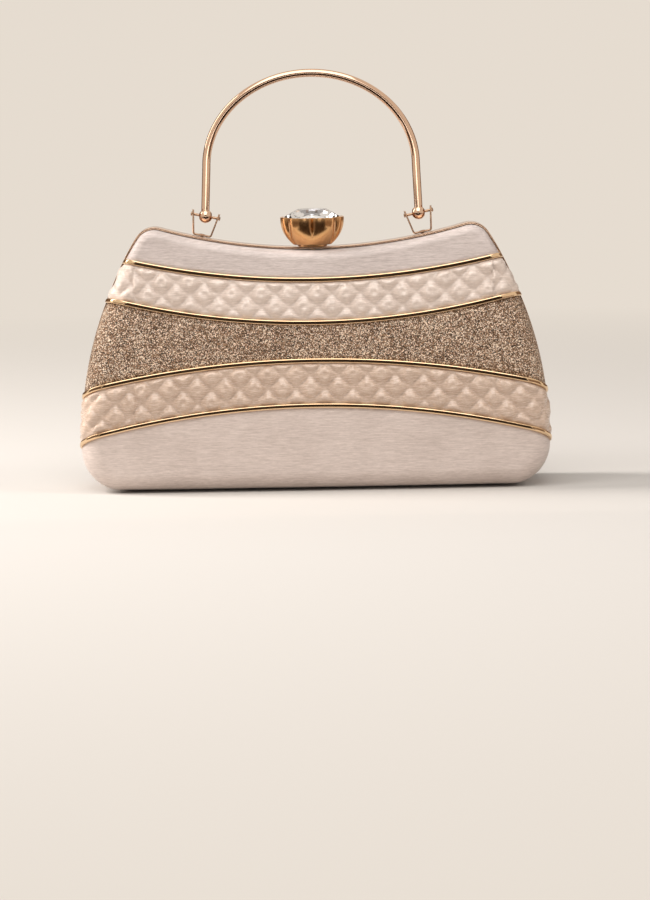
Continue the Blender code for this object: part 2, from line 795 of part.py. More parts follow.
def build_clip(side, word, parent, looks, pieces):
    """One clip with its pin and rivet, on the back half's frame."""
    place = clip_matrix(side)
    name = f"handle_clip_{word}"
    half_depth = CLIP_DEPTH / 2
    mesh = prism_mesh(name, clip_outline(), -half_depth, half_depth)
    pieces[name] = new_object(name, mesh, looks["handle"], parent, place)
    pin_height = Matrix.Translation((0, 0, CLIP_PIN_HEIGHT))
    pin_place = place @ pin_height @ Matrix.Rotation(math.pi / 2, 4, "Y")
    reach = CLIP_BASE_WIDTH / 2 + CLIP_PIN_HEIGHT * math.tan(math.radians(CLIP_SPLAY_DEG))
    pin_hole = cylinder_cutter(
        f"cut_pin_{word}", PIN_RADIUS + PIN_CLEARANCE, reach * 2 + CUT_OVERRUN, pin_place
    )
    apply_boolean(pieces[name], pin_hole)
    rivet_hole = cylinder_cutter(
        f"cut_rivet_{word}", RIVET_RADIUS + SEAT_GAP, (CLIP_STRIP + FRAME_WALL) * 2 + CUT_OVERRUN, place
    )
    apply_boolean(pieces[name], rivet_hole)
    apply_boolean(pieces["back_frame"], rivet_hole)
    # The pin's heads lie outside the splayed legs, past the corner that leans out the most
    shoulder = reach + PIN_HEAD_RADIUS * math.tan(math.radians(CLIP_SPLAY_DEG)) + SEAT_GAP
    end = shoulder + PIN_HEAD_LENGTH
    profile = (
        (0, -end),
        (PIN_HEAD_RADIUS, -end),
        (PIN_HEAD_RADIUS, -shoulder),
        (PIN_RADIUS, -shoulder),
        (PIN_RADIUS, shoulder),
        (PIN_HEAD_RADIUS, shoulder),
        (PIN_HEAD_RADIUS, end),
        (0, end),
    )
    name = f"handle_pin_{word}"
    pieces[name] = new_object(name, turned_mesh(name, profile, PIN_SIDES), looks["handle"], parent, pin_place)
    seat = CLIP_STRIP + SEAT_GAP
    shoulder_radius, shoulder_height = RIVET_SHOULDER_SHARES
    profile = (
        (0, -SEAT_GAP - FRAME_WALL),
        (RIVET_RADIUS, -SEAT_GAP - FRAME_WALL),
        (RIVET_RADIUS, seat),
        (RIVET_HEAD_RADIUS, seat),
        (RIVET_HEAD_RADIUS * shoulder_radius, seat + RIVET_HEAD_HEIGHT * shoulder_height),
        (0, seat + RIVET_HEAD_HEIGHT),
    )
    name = f"clip_rivet_{word}"
    pieces[name] = new_object(name, turned_mesh(name, profile, PIN_SIDES), looks["handle"], parent, place)


# Clasp

def clasp_heights():
    """Heights of the clasp's seats, from the frame's top up and down."""
    frame_top = BASE_HEIGHT + TOP_DIP_HEIGHT - FRAME_INSET_TOP
    collar = frame_top + SEAT_GAP
    cup = frame_top + CUP_CLEARANCE
    ceiling = cup + CUP_RECESS_HEIGHT
    flange_low = frame_top - FLANGE_WIDTH
    prong_low = flange_low - CATCH_DROP - CATCH_THICKNESS
    return frame_top, collar, cup, ceiling, flange_low, prong_low


def cup_radius(share):
    """Outer radius of the cup at a share of its height: a round bowl, steep near the rim."""
    spread = 1 - (1 - share) ** CUP_CURVE_POWER
    return CUP_FOOT_RADIUS + (CUP_RIM_RADIUS - CUP_FOOT_RADIUS) * spread


def cup_mesh(name):
    """Lobed bowl with a recess underneath, about its own Z, from its lowest face up.

    A groove between two lobes faces the front.
    """
    bm = bmesh.new()
    sides = CUP_LOBES * CUP_SIDES_PER_LOBE
    turns = [2 * math.pi * side / sides for side in range(sides)]

    def ring(radius, height, groove):
        points = []
        for turn in turns:
            across = abs(math.sin(CUP_LOBES * turn / 2))
            dent = 1 - groove * (1 - across) ** CUP_GROOVE_POWER
            points.append((radius * dent * math.sin(turn), -radius * dent * math.cos(turn), height))
        return add_ring(bm, points)

    outer = []
    for step in range(CUP_RINGS + 1):
        share = step / CUP_RINGS
        outer.append(ring(cup_radius(share), CUP_HEIGHT * share, CUP_GROOVE_SHARE * share))
    floor = CUP_RECESS_HEIGHT + CUP_FLOOR
    seat = CUP_HEIGHT - CRYSTAL_GIRDLE_HEIGHT - SEAT_GAP
    inner_rim = CRYSTAL_GIRDLE_RADIUS + SEAT_GAP
    lean = (inner_rim - CUP_RECESS_RADIUS) / (CUP_HEIGHT - floor)
    inner = [
        ring(inner_rim, CUP_HEIGHT, CUP_GROOVE_SHARE),
        ring(inner_rim - lean * (CUP_HEIGHT - seat) / 2, seat, CUP_GROOVE_SHARE),
        ring(CUP_BOWL_FLOOR_RADIUS, floor, 0.0),
        ring(STEM_RADIUS + PIN_CLEARANCE, floor, 0.0),
        ring(STEM_RADIUS + PIN_CLEARANCE, CUP_RECESS_HEIGHT, 0.0),
        ring(CUP_RECESS_RADIUS, CUP_RECESS_HEIGHT, 0.0),
        ring(CUP_RECESS_RADIUS, 0.0, 0.0),
    ]
    rings = outer + inner
    for index, first in enumerate(rings):
        bridge_rings(bm, first, rings[(index + 1) % len(rings)])
    return finish_mesh(bm, name)


def crystal_mesh(name):
    """Cut stone about its own Z, with its girdle's lower edge at zero height.

    It has a corner in the middle of each of the cup's lobes, and a blunt one at each groove.
    """
    bm = bmesh.new()

    def ring(radius, height, half_turn):
        turns = [2 * math.pi * (i + half_turn) / CUP_LOBES for i in range(CUP_LOBES)]
        return add_ring(bm, [(radius * math.sin(t), -radius * math.cos(t), height) for t in turns])

    girdle = CRYSTAL_GIRDLE_RADIUS
    top = CRYSTAL_GIRDLE_HEIGHT + CRYSTAL_CROWN_HEIGHT
    star = CRYSTAL_GIRDLE_HEIGHT + CRYSTAL_CROWN_HEIGHT * CRYSTAL_STAR_HEIGHT_SHARE
    ring(girdle * CRYSTAL_TABLE_SHARE, top, 0.5)
    ring(girdle * CRYSTAL_STAR_SHARE, star, 0.0)
    for height in (CRYSTAL_GIRDLE_HEIGHT, 0.0):
        ring(girdle, height, 0.5)
        ring(girdle * (1 - CUP_GROOVE_SHARE), height, 0.0)
    ring(girdle * CRYSTAL_CULET_SHARE, -CRYSTAL_PAVILION_DEPTH, 0.5)
    hull = bmesh.ops.convex_hull(bm, input=bm.verts)
    bmesh.ops.delete(bm, geom=list(set(hull["geom_interior"] + hull["geom_unused"])), context="VERTS")
    return finish_mesh(bm, name)


def build_clasp(parents, looks, pieces):
    """Push button on the front half, with its collar, spring, stem and foot, and the catch."""
    frame_top, collar, cup, ceiling, flange_low, prong_low = clasp_heights()
    axis = Matrix.Translation((0, CLASP_Y, 0))
    button = parents["button"]

    def at(height):
        return axis @ Matrix.Translation((0, 0, height))

    pieces["clasp_cup"] = new_object("clasp_cup", cup_mesh("clasp_cup"), looks["cup"], button, at(cup))
    girdle = cup + CUP_HEIGHT - CRYSTAL_GIRDLE_HEIGHT + SEAT_GAP
    pieces["clasp_crystal"] = new_object(
        "clasp_crystal", crystal_mesh("clasp_crystal"), looks["crystal"], button, at(girdle)
    )
    bush_low = collar - BUSH_LENGTH
    collar_top = collar + COLLAR_HEIGHT
    profile = (
        (BUSH_BORE_RADIUS, bush_low),
        (BUSH_RADIUS, bush_low),
        (BUSH_RADIUS, collar),
        (COLLAR_RADIUS, collar),
        (COLLAR_RADIUS, collar_top),
        (BUSH_BORE_RADIUS, collar_top),
    )
    pieces["clasp_collar"] = new_object(
        "clasp_collar", tube_mesh("clasp_collar", profile), looks["cup"], parents["front"], axis
    )
    hole = cylinder_cutter("cut_clasp", BUSH_RADIUS + SEAT_GAP, (BUSH_LENGTH + CUT_OVERRUN) * 2, at(collar))
    for name in ("front_frame", "front_satin_top", "front_shell", "front_lining"):
        apply_boolean(pieces[name], hole)
    build_stem(button, looks, pieces, ceiling, prong_low)
    build_spring(button, looks, pieces, collar_top, ceiling)
    build_catch(parents["back"], looks, pieces, flange_low, prong_low)


def build_stem(parent, looks, pieces, ceiling, prong_low):
    """Stem under the cup, with the foot that lies behind the catch's barbs."""
    foot_top = prong_low - LATCH_GAP
    foot_low = foot_top - FOOT_THICKNESS
    profile = (
        (0, foot_low + SEAT_GAP),
        (STEM_RADIUS, foot_low + SEAT_GAP),
        (STEM_RADIUS, ceiling + CUP_FLOOR - SEAT_GAP),
        (0, ceiling + CUP_FLOOR - SEAT_GAP),
    )
    axis = Matrix.Translation((0, CLASP_Y, 0))
    name = "clasp_stem"
    stem = new_object(name, turned_mesh(name, profile, PIN_SIDES), looks["steel"], parent, axis)
    half_width = CATCH_SLOT_HALF + CATCH_PRONG_WIDTH
    low = (-half_width, CLASP_Y - FOOT_DEPTH / 2, foot_low)
    high = (half_width, CLASP_Y + FOOT_DEPTH / 2, foot_top)
    foot = new_cutter("join_foot", box_mesh("join_foot", low, high))
    apply_boolean(stem, foot, "UNION")
    pieces[name] = stem


def build_spring(parent, looks, pieces, low, high):
    """Return spring between the collar and the cup's recess."""
    wire = SPRING_WIRE_RADIUS
    start = low + SEAT_GAP + wire
    rise = high - SEAT_GAP - wire - start
    steps = SPRING_STEPS_PER_TURN * SPRING_TURNS
    curve = bpy.data.curves.new("clasp_spring", "CURVE")
    curve.dimensions = "3D"
    curve.bevel_depth = wire
    curve.bevel_resolution = 1
    curve.use_fill_caps = True
    spline = curve.splines.new("POLY")
    spline.points.add(steps)
    for step in range(steps + 1):
        turn = 2 * math.pi * SPRING_TURNS * step / steps
        x = SPRING_RADIUS * math.cos(turn)
        y = CLASP_Y + SPRING_RADIUS * math.sin(turn)
        spline.points[step].co = (x, y, start + rise * step / steps, 1.0)
    pieces["clasp_spring"] = new_object("clasp_spring", curve, looks["steel"], parent)


def build_catch(parent, looks, pieces, flange_low, prong_low):
    """Forked plate on the back frame's flange, with a barb at the end of each prong."""
    back_y = PART_GAP + FLANGE_THICKNESS + SEAT_GAP
    half_width = CATCH_SLOT_HALF + CATCH_PRONG_WIDTH
    barb_back = CLASP_Y - FOOT_DEPTH / 2 - LATCH_GAP
    barb_front = barb_back - BARB_THICKNESS
    prong_top = prong_low + CATCH_THICKNESS
    tab_top = flange_low + CATCH_LAP
    profile = (
        (barb_front, prong_low - BARB_HEIGHT),
        (barb_back, prong_low - BARB_HEIGHT),
        (barb_back, prong_low),
        (back_y + CATCH_THICKNESS, prong_low),
        (back_y + CATCH_THICKNESS, tab_top),
        (back_y, tab_top),
        (back_y, prong_top),
        (barb_front, prong_top),
    )
    bm = bmesh.new()
    left = add_ring(bm, [(-half_width, y, z) for y, z in profile])
    right = add_ring(bm, [(half_width, y, z) for y, z in profile])
    bridge_rings(bm, left, right)
    bm.faces.new(left)
    bm.faces.new(right)
    catch = new_object("back_catch", finish_mesh(bm, "back_catch"), looks["steel"], parent)
    slot_end = PART_GAP
    low = (-CATCH_SLOT_HALF, barb_front - CUT_OVERRUN, prong_low - BARB_HEIGHT - CUT_OVERRUN)
    high = (CATCH_SLOT_HALF, slot_end, prong_top + CUT_OVERRUN)
    slot = new_cutter("cut_catch_slot", box_mesh("cut_catch_slot", low, high))
    apply_boolean(catch, slot)
    pieces["back_catch"] = catch


# Hinges

def build_hinges(parents, looks, pieces):
    """Two hinges under the bottom, each with two leaves and a pin."""
    barrel = HINGE_BARREL_RADIUS
    middle = HINGE_KNUCKLE_MIDDLE / 2
    inner = middle + HINGE_KNUCKLE_GAP
    outer = inner + HINGE_KNUCKLE_OUTER
    relief = barrel + SEAT_GAP
    for side, word in ((-1, "left"), (1, "right")):
        centre = Vector((side * HINGE_X, 0.0, barrel))
        bore = cylinder_cutter(
            f"cut_hinge_bore_{word}", HINGE_PIN_RADIUS + HINGE_PIN_CLEARANCE, outer * 3, along_x(centre)
        )
        notch = cylinder_cutter(f"cut_hinge_notch_{word}", relief, (outer + SEAT_GAP) * 2, along_x(centre))
        for name in ("front_frame", "back_frame"):
            apply_boolean(pieces[name], notch)
        name = f"front_hinge_leaf_{word}"
        spans = ((-outer, -inner), (inner, outer))
        pieces[name] = hinge_leaf(name, centre, spans, -1, parents["front"], looks["hinge"], outer, bore)
        name = f"back_hinge_leaf_{word}"
        spans = ((-middle, middle),)
        pieces[name] = hinge_leaf(name, centre, spans, 1, parents["back"], looks["hinge"], outer, bore)
        profile = ((0, -outer), (HINGE_PIN_RADIUS, -outer), (HINGE_PIN_RADIUS, outer), (0, outer))
        name = f"hinge_pin_{word}"
        mesh = turned_mesh(name, profile, PIN_SIDES)
        pieces[name] = new_object(name, mesh, looks["steel"], parents["back"], along_x(centre))


def hinge_leaf(name, centre, spans, side, parent, material, outer, bore):
    """Plate on one side of the barrel, joined to its own knuckles."""
    barrel = HINGE_BARREL_RADIUS
    clear = barrel + LATCH_GAP
    leaf = prism_plate(name, centre, side, clear, outer)
    obj = new_object(name, leaf, material, parent)
    for number, (start, end) in enumerate(spans):
        middle = centre + Vector(((start + end) / 2, 0, 0))
        knuckle = cylinder_cutter(f"join_{name}_{number}", barrel, end - start, along_x(middle))
        bridge = bridge_plate(f"join_{name}_web_{number}", centre, start, end, side, clear)
        apply_boolean(obj, bridge, "UNION")
        apply_boolean(obj, knuckle, "UNION")
    apply_boolean(obj, bore)
    return obj


def prism_plate(name, centre, side, clear, outer):
    """The leaf's plate, clear of the other leaf's knuckles."""
    near = side * clear
    far = side * HINGE_LEAF_REACH
    low = (centre.x - outer, min(near, far), 0.0)
    high = (centre.x + outer, max(near, far), HINGE_LEAF_THICKNESS)
    return box_mesh(name, low, high)


def bridge_plate(name, centre, start, end, side, clear):
    """Short web from a leaf's plate to the foot of one of its knuckles."""
    near = 0.0
    far = side * (clear + HINGE_LEAF_THICKNESS)
    low = (centre.x + start, min(near, far), 0.0)
    high = (centre.x + end, max(near, far), HINGE_LEAF_THICKNESS)
    return new_cutter(name, box_mesh(name, low, high))


def make_looks():
    """Plain colours of the materials."""
    return {
        "satin": new_material("satin", (0.66, 0.54, 0.48), 0.38, 0.0),
        "quilt": new_material("quilted_satin", (0.64, 0.52, 0.45), 0.36, 0.0),
        "glitter": new_material("glitter_fabric", (0.30, 0.23, 0.18), 0.5, 0.2),
        "shell": new_material("shell", (0.55, 0.52, 0.48), 0.6, 0.0),
        "lining": new_material("lining", (0.60, 0.50, 0.44), 0.6, 0.0),
        "frame": new_material("frame_gold", (0.85, 0.62, 0.45), 0.2, 1.0),
        "trim": new_material("trim_gold", (0.83, 0.60, 0.28), 0.15, 1.0),
        "handle": new_material("handle_gold", (0.82, 0.58, 0.40), 0.18, 1.0),
        "cup": new_material("cup_gold", (0.78, 0.50, 0.26), 0.22, 1.0),
        "crystal": new_material("crystal", (0.95, 0.95, 0.97), 0.02, 0.0, 1.0),
        "steel": new_material("steel", (0.55, 0.55, 0.55), 0.3, 1.0),
        "hinge": new_material("hinge_brass", (0.35, 0.25, 0.17), 0.35, 1.0),
    }


def make_parents():
    """Empties on the joints' axes, one for each body."""
    pivot = handle_pivot()
    return {
        "back": new_parent("back_half", (0, 0, 0)),
        "front": new_parent("front_half", (0, 0, HINGE_BARREL_RADIUS)),
        "handle": new_parent("handle", (0, pivot.y, pivot.z)),
        "button": new_parent("clasp_button", (0, CLASP_Y, 0)),
    }


def main():
    for obj in list(bpy.data.objects):
        bpy.data.objects.remove(obj, do_unlink=True)
    looks = make_looks()
    parents = make_parents()
    pieces = build_halves(parents, looks)
    build_handle(parents, looks, pieces)
    build_clasp(parents, looks, pieces)
    build_hinges(parents, looks, pieces)


main()
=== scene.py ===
"""Looks of a hard satin clutch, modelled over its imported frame.

Each half of the case carries five fabric bands and four trim strips. They lie on one surface, CaseShape,
whose sizes are the solids' own, so every piece stays where its solid is.
"""

import json
import logging
import math
from dataclasses import dataclass
from enum import Enum
from typing import Callable, Iterable, Sequence

import bmesh
import bpy
from mathutils import Matrix, Vector, noise

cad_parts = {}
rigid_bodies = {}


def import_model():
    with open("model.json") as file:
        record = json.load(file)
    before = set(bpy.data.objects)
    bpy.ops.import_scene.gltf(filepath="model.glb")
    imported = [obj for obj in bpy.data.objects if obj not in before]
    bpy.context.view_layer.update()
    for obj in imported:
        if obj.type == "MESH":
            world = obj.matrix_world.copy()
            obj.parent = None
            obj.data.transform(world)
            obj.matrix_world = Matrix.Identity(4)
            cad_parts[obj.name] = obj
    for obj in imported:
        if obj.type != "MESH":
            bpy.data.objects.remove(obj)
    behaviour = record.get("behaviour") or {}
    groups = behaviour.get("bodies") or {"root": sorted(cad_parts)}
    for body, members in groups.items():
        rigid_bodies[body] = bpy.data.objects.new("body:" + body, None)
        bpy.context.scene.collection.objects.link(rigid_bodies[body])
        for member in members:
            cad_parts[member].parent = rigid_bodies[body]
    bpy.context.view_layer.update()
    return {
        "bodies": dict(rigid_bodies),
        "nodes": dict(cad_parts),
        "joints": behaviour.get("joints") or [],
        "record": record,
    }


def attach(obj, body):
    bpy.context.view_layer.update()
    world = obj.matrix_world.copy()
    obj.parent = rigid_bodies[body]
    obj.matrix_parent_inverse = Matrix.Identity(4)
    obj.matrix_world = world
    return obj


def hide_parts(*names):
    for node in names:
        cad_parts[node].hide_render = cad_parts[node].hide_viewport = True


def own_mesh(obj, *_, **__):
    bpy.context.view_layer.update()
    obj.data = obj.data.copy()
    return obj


LOG = logging.getLogger("clutch")
MM = 0.001
FULL_TURN = 2 * math.pi
ROUND_STEPS = 24
SHARP_EDGE = 35.0
NO_SHARP_EDGE = 180.0
WELD = 0.002 * MM
TINY = 0.001 * MM
EDGE_START = 2.0
EDGE_MIDDLE = 2.5
FACE_LEVEL = 3.0
BAG_MIDDLE = 0.08
BAG_CORE = (50 * MM, 55 * MM)

Colour = tuple[float, float, float]
Point = tuple[float, float]
Stops = Sequence[tuple[float, Colour]]
Place = Callable[[int, int], Vector]
BMesh = bmesh.types.BMesh
Material = bpy.types.Material
Looks = dict[str, Material]
Socket = bpy.types.NodeSocket


class Named(Enum):
    """One of two mirrored places, with its sign."""

    @property
    def word(self) -> str:
        """Its word in the nodes' names."""
        return self.name.lower()


class Side(Named):
    """The two halves of the case, with the sign of their depth along Y."""

    FRONT = -1
    BACK = 1

    @property
    def body(self) -> str:
        """Body that the half's pieces ride on."""
        return f"{self.word}_half"


class Hand(Named):
    """Left and right of the bag, with the sign of X."""

    LEFT = -1
    RIGHT = 1


class Value:
    """A shader socket that takes part in Python expressions."""

    def __init__(self, graph: "Graph", socket: Socket) -> None:
        """Wrap a socket.

        Args:
            graph: Graph that the socket's node belongs to.
            socket: Output socket that holds a number.
        """
        self.graph = graph
        self.socket = socket

    def _math(self, operation: str, *values: object) -> "Value":
        """Add a Math node.

        Args:
            operation: Blender's name of the operation.
            values: Numbers or Values, in the order of the node's sockets.

        Returns:
            The node's result.
        """
        node = self.graph.node("ShaderNodeMath", {"operation": operation}, dict(enumerate(values)))
        return Value(self.graph, node.outputs[0])

    def __add__(self, other: object) -> "Value":
        """Sum."""
        return self._math("ADD", self, other)

    __radd__ = __add__

    def __sub__(self, other: object) -> "Value":
        """Difference."""
        return self._math("SUBTRACT", self, other)

    def __rsub__(self, other: object) -> "Value":
        """Difference from a number."""
        return self._math("SUBTRACT", other, self)

    def __mul__(self, other: object) -> "Value":
        """Product."""
        return self._math("MULTIPLY", self, other)

    __rmul__ = __mul__

    def or_more(self, other: object) -> "Value":
        """The greater of the two."""
        return self._math("MAXIMUM", self, other)

    def above(self, limit: float) -> "Value":
        """1 where the value is above a limit, 0 elsewhere."""
        return self._math("GREATER_THAN", self, limit)

    def clamped(self) -> "Value":
        """The value kept between 0 and 1."""
        node = self.graph.node("ShaderNodeClamp", {}, {0: self})
        return Value(self.graph, node.outputs[0])


class Graph:
    """Node tree of one material or world, with one method that makes any node."""

    def __init__(self, name: str, world: bool = False) -> None:
        """Make a material or a world with its first shader.

        Args:
            name: Name of the material or world.
            world: Whether it is a world.
        """
        self.owner = bpy.data.worlds.new(name) if world else bpy.data.materials.new(name)
        self.owner.use_nodes = True
        self.tree = self.owner.node_tree
        self.output = next(node for node in self.tree.nodes if "Output" in node.bl_idname)
        self.shader = self.output.inputs["Surface"].links[0].from_node

    def node(self, kind: str, settings: dict[str, object], values: dict[object, object]) -> bpy.types.Node:
        """Make a node.

        Args:
            kind: Blender's name of the node type.
            settings: Attributes, set first. "stops" gives a ramp its places and colours.
            values: Socket name or number, and its number, colour, Value or output socket.

        Returns:
            The new node.
        """
        node = self.tree.nodes.new(kind)
        for key, setting in settings.items():
            if key == "stops":
                self._set_stops(node.color_ramp, setting)
            else:
                setattr(node, key, setting)
        for key, value in values.items():
            self.feed(node.inputs[key], value)
        return node

    @staticmethod
    def _set_stops(ramp: bpy.types.ColorRamp, stops: Stops) -> None:
        """Give a ramp its stops.

        Args:
            ramp: Ramp with Blender's two first stops.
            stops: Place and colour of each stop, in order.
        """
        while len(ramp.elements) < len(stops):
            ramp.elements.new(0.5)
        for element, (place, colour) in zip(ramp.elements, stops):
            element.position = place
            element.color = (*colour, 1.0)

    def feed(self, socket: Socket, value: object) -> None:
        """Link a value to an input socket, or set it there.

        Args:
            socket: Input socket.
            value: Number, colour, vector, Value or output socket.
        """
        if isinstance(value, Value):
            self.tree.links.new(value.socket, socket)
        elif isinstance(value, Socket):
            self.tree.links.new(value, socket)
        elif isinstance(value, tuple) and socket.type == "RGBA":
            socket.default_value = (*value, 1.0)
        else:
            socket.default_value = value

    def place(self, scale: Colour) -> Socket:
        """Object coordinates, scaled along X, Y and Z."""
        here = self.node("ShaderNodeTexCoord", {}, {}).outputs["Object"]
        return self.node("ShaderNodeMapping", {}, {"Vector": here, "Scale": scale}).outputs[0]

    def noise(self, scale: Colour, detail: float, roughness: float = 0.5) -> Value:
        """Noise from 0 to 1.

        Args:
            scale: Waves a metre along X, Y and Z.
            detail: Octaves.
            roughness: Weight of the finer octaves.

        Returns:
            The noise as a number.
        """
        values = {"Vector": self.place(scale), "Scale": 1.0, "Detail": detail, "Roughness": roughness}
        return Value(self, self.node("ShaderNodeTexNoise", {}, values).outputs[0])

    def cells(self, scale: float) -> tuple[Value, Socket]:
        """Cells of a size, each with its own random colour.

        Args:
            scale: Cells a metre.

        Returns:
            Distance from the cell's middle, and the cell's colour.
        """
        values = {"Vector": self.place((scale, scale, scale)), "Scale": 1.0}
        node = self.node("ShaderNodeTexVoronoi", {}, values)
        return Value(self, node.outputs["Distance"]), node.outputs["Color"]

    def split(self, colour: Socket) -> tuple[Value, Value, Value]:
        """The three numbers of a colour or vector."""
        node = self.node("ShaderNodeSeparateXYZ", {}, {0: colour})
        return tuple(Value(self, output) for output in node.outputs)

    def ramp(self, factor: Value, stops: Stops) -> Socket:
        """Colour that follows a number through the stops."""
        return self.node("ShaderNodeValToRGB", {"stops": stops}, {0: factor}).outputs[0]

    def mix(self, factor: object, first: object, second: object) -> Socket:
        """Colour between two, the first at a factor of 0."""
        node = self.node("ShaderNodeMix", {"data_type": "RGBA"}, {0: factor, 6: first, 7: second})
        return node.outputs[2]

    def blend(self, factor: object, other: bpy.types.Node) -> None:
        """Send the first shader to the output, mixed with another at a factor of 1."""
        values = {0: factor, 1: self.shader.outputs[0], 2: other.outputs[0]}
        self.feed(self.output.inputs["Surface"], self.node("ShaderNodeMixShader", {}, values).outputs[0])

    def bump(self, height: Value, distance: float) -> None:
        """Bump the shader's normal; the distance is that of a height of 1, in metres."""
        node = self.node("ShaderNodeBump", {}, {"Height": height, "Distance": distance, "Strength": 1.0})
        self.feed(self.shader.inputs["Normal"], node.outputs[0])

    def set(self, **values: object) -> None:
        """Set or link the shader's sockets; an underscore in a name stands for a space."""
        for key, value in values.items():
            self.feed(self.shader.inputs[key.replace("_", " ")], value)


@dataclass(frozen=True)
class SatinFinish:
    """Satin with a fine grain that runs from side to side."""

    name: str
    light: Colour
    dark: Colour
    roughness: float = 0.4
    sheen: float = 0.12
    grain_height: float = 0.09 * MM
    crinkle: float = 0.0
    specular: float = 0.6
    grain_waves: Colour = (330.0, 330.0, 2700.0)
    slub_waves: Colour = (110.0, 110.0, 1700.0)
    mottle_waves: Colour = (45.0, 45.0, 45.0)
    crinkle_waves: Colour = (620.0, 620.0, 360.0)

    def material(self) -> Material:
        """Make the material.

        Returns:
            The material.
        """
        graph = Graph(self.name)
        grain = graph.noise(self.grain_waves, 3.0, 0.7)
        slub = graph.noise(self.slub_waves, 2.0)
        mottle = graph.noise(self.mottle_waves, 2.0)
        tone = (grain * 0.8 + slub * 0.4 + mottle * 0.25 - 0.22).clamped()
        colour = graph.ramp(tone, ((0.3, self.dark), (0.7, self.light)))
        graph.set(
            Base_Color=colour,
            Roughness=(self.roughness + (grain - 0.5) * 0.25).clamped(),
            Sheen_Weight=self.sheen,
            Sheen_Roughness=0.35,
            Specular_IOR_Level=self.specular,
        )
        height = grain * 0.6 + slub * 0.4
        if self.crinkle:
            height = height + graph.noise(self.crinkle_waves, 3.0, 0.6) * self.crinkle
        graph.bump(height, self.grain_height)
        return graph.owner


@dataclass(frozen=True)
class GlitterFinish:
    """Fabric strewn with fine metal grains; the brightest grains carry a near-white painted glint in their
    colour.
    """

    name: str
    ground: Colour = (0.025, 0.013, 0.006)
    middle: Colour = (0.165, 0.083, 0.042)
    pale: Colour = (0.43, 0.255, 0.15)
    # near-white colour of the brightest grains: a painted glint
    spark: Colour = (1.0, 0.84, 0.67)
    grains_per_metre: float = 2900.0
    broad_waves: Colour = (70.0, 70.0, 70.0)

    def material(self) -> Material:
        """Make the material.

        Returns:
            The material.
        """
        graph = Graph(self.name)
        distance, cell = graph.cells(self.grains_per_metre)
        red, green, blue = graph.split(cell)
        broad = graph.noise(self.broad_waves, 2.0)
        tone = (red * 0.97 + broad * 0.2 - 0.09).clamped()
        # the last stop paints glints on the grains that would catch the light
        stops = ((0.1, self.ground), (0.42, self.middle), (0.68, self.pale), (0.88, self.spark))
        colour = graph.ramp(tone, stops)
        graph.set(
            Base_Color=colour,
            Metallic=(red.above(0.55) * 0.45),
            Roughness=(0.62 - green * 0.35).clamped(),
            Specular_IOR_Level=0.5,
        )
        graph.bump((1.0 - distance) * 0.6 + blue * 0.8, 0.22 * MM)
        return graph.owner


@dataclass(frozen=True)
class PlatedFinish:
    """Polished plating over brass, with faint wiping marks."""

    name: str
    colour: Colour
    worn: Colour
    roughness: float = 0.12
    marks: float = 0.1
    scratches: float = 0.003 * MM
    smear_waves: Colour = (90.0, 90.0, 90.0)
    scratch_waves: Colour = (300.0, 2600.0, 2600.0)

    def material(self) -> Material:
        """Make the material.

        Returns:
            The material.
        """
        graph = Graph(self.name)
        smear = graph.noise(self.smear_waves, 4.0, 0.6)
        scratch = graph.noise(self.scratch_waves, 2.0)
        graph.set(
            Base_Color=graph.mix((smear * 1.4 - 0.3).clamped(), self.colour, self.worn),
            Metallic=1.0,
            Roughness=(self.roughness + (smear - 0.45) * self.marks).clamped(),
        )
        graph.bump(scratch, self.scratches)
        return graph.owner


@dataclass(frozen=True)
class CrystalFinish:
    """Clear cut crystal."""

    name: str
    tint: Colour = (0.97, 0.97, 0.99)
    index: float = 1.56

    def material(self) -> Material:
        """Make the material.

        Returns:
            The material.
        """
        graph = Graph(self.name)
        graph.set(
            Base_Color=self.tint,
            Roughness=0.0,
            IOR=self.index,
            Transmission_Weight=1.0,
        )
        return graph.owner


@dataclass(frozen=True)
class SteelFinish:
    """Plain drawn steel."""

    name: str
    colour: Colour = (0.5, 0.49, 0.47)
    pale: Colour = (0.62, 0.61, 0.59)
    drawn_waves: Colour = (400.0, 400.0, 5000.0)

    def material(self) -> Material:
        """Make the material.

        Returns:
            The material.
        """
        graph = Graph(self.name)
        drawn = graph.noise(self.drawn_waves, 2.0)
        graph.set(
            Base_Color=graph.mix(drawn, self.colour, self.pale),
            Metallic=1.0,
            Roughness=(0.25 + drawn * 0.2).clamped(),
        )
        return graph.owner


@dataclass(frozen=True)
class BoardFinish:
    """Plain moulded board under the fabric."""

    name: str
    colour: Colour = (0.45, 0.42, 0.38)
    pale: Colour = (0.56, 0.53, 0.48)
    fibre_waves: Colour = (900.0, 900.0, 900.0)

    def material(self) -> Material:
        """Make the material.

        Returns:
            The material.
        """
        graph = Graph(self.name)
        fibre = graph.noise(self.fibre_waves, 3.0)
        graph.set(Base_Color=graph.mix(fibre, self.colour, self.pale), Roughness=0.8)
        graph.bump(fibre, 0.05 * MM)
        return graph.owner


@dataclass(frozen=True)
class FloorFinish:
    """Pale matt floor that shows the bag's shadow, and far out has the backdrop's colour."""

    name: str
    colour: Colour
    backdrop: Colour
    plain_from: float = 0.2
    plain_width: float = 0.7

    def material(self) -> Material:
        """Make the material.

        Returns:
            The material.
        """
        graph = Graph(self.name)
        graph.set(Base_Color=self.colour, Roughness=0.85, Specular_IOR_Level=0.2)
        here = graph.place((1.0, 1.0, 1.0))
        reach = graph.node("ShaderNodeVectorMath", {"operation": "LENGTH"}, {0: here})
        far = ((Value(graph, reach.outputs["Value"]) - self.plain_from) * (1 / self.plain_width)).clamped()
        plain = graph.node("ShaderNodeEmission", {}, {"Color": self.backdrop, "Strength": 1.0})
        graph.blend(far, plain)
        return graph.owner


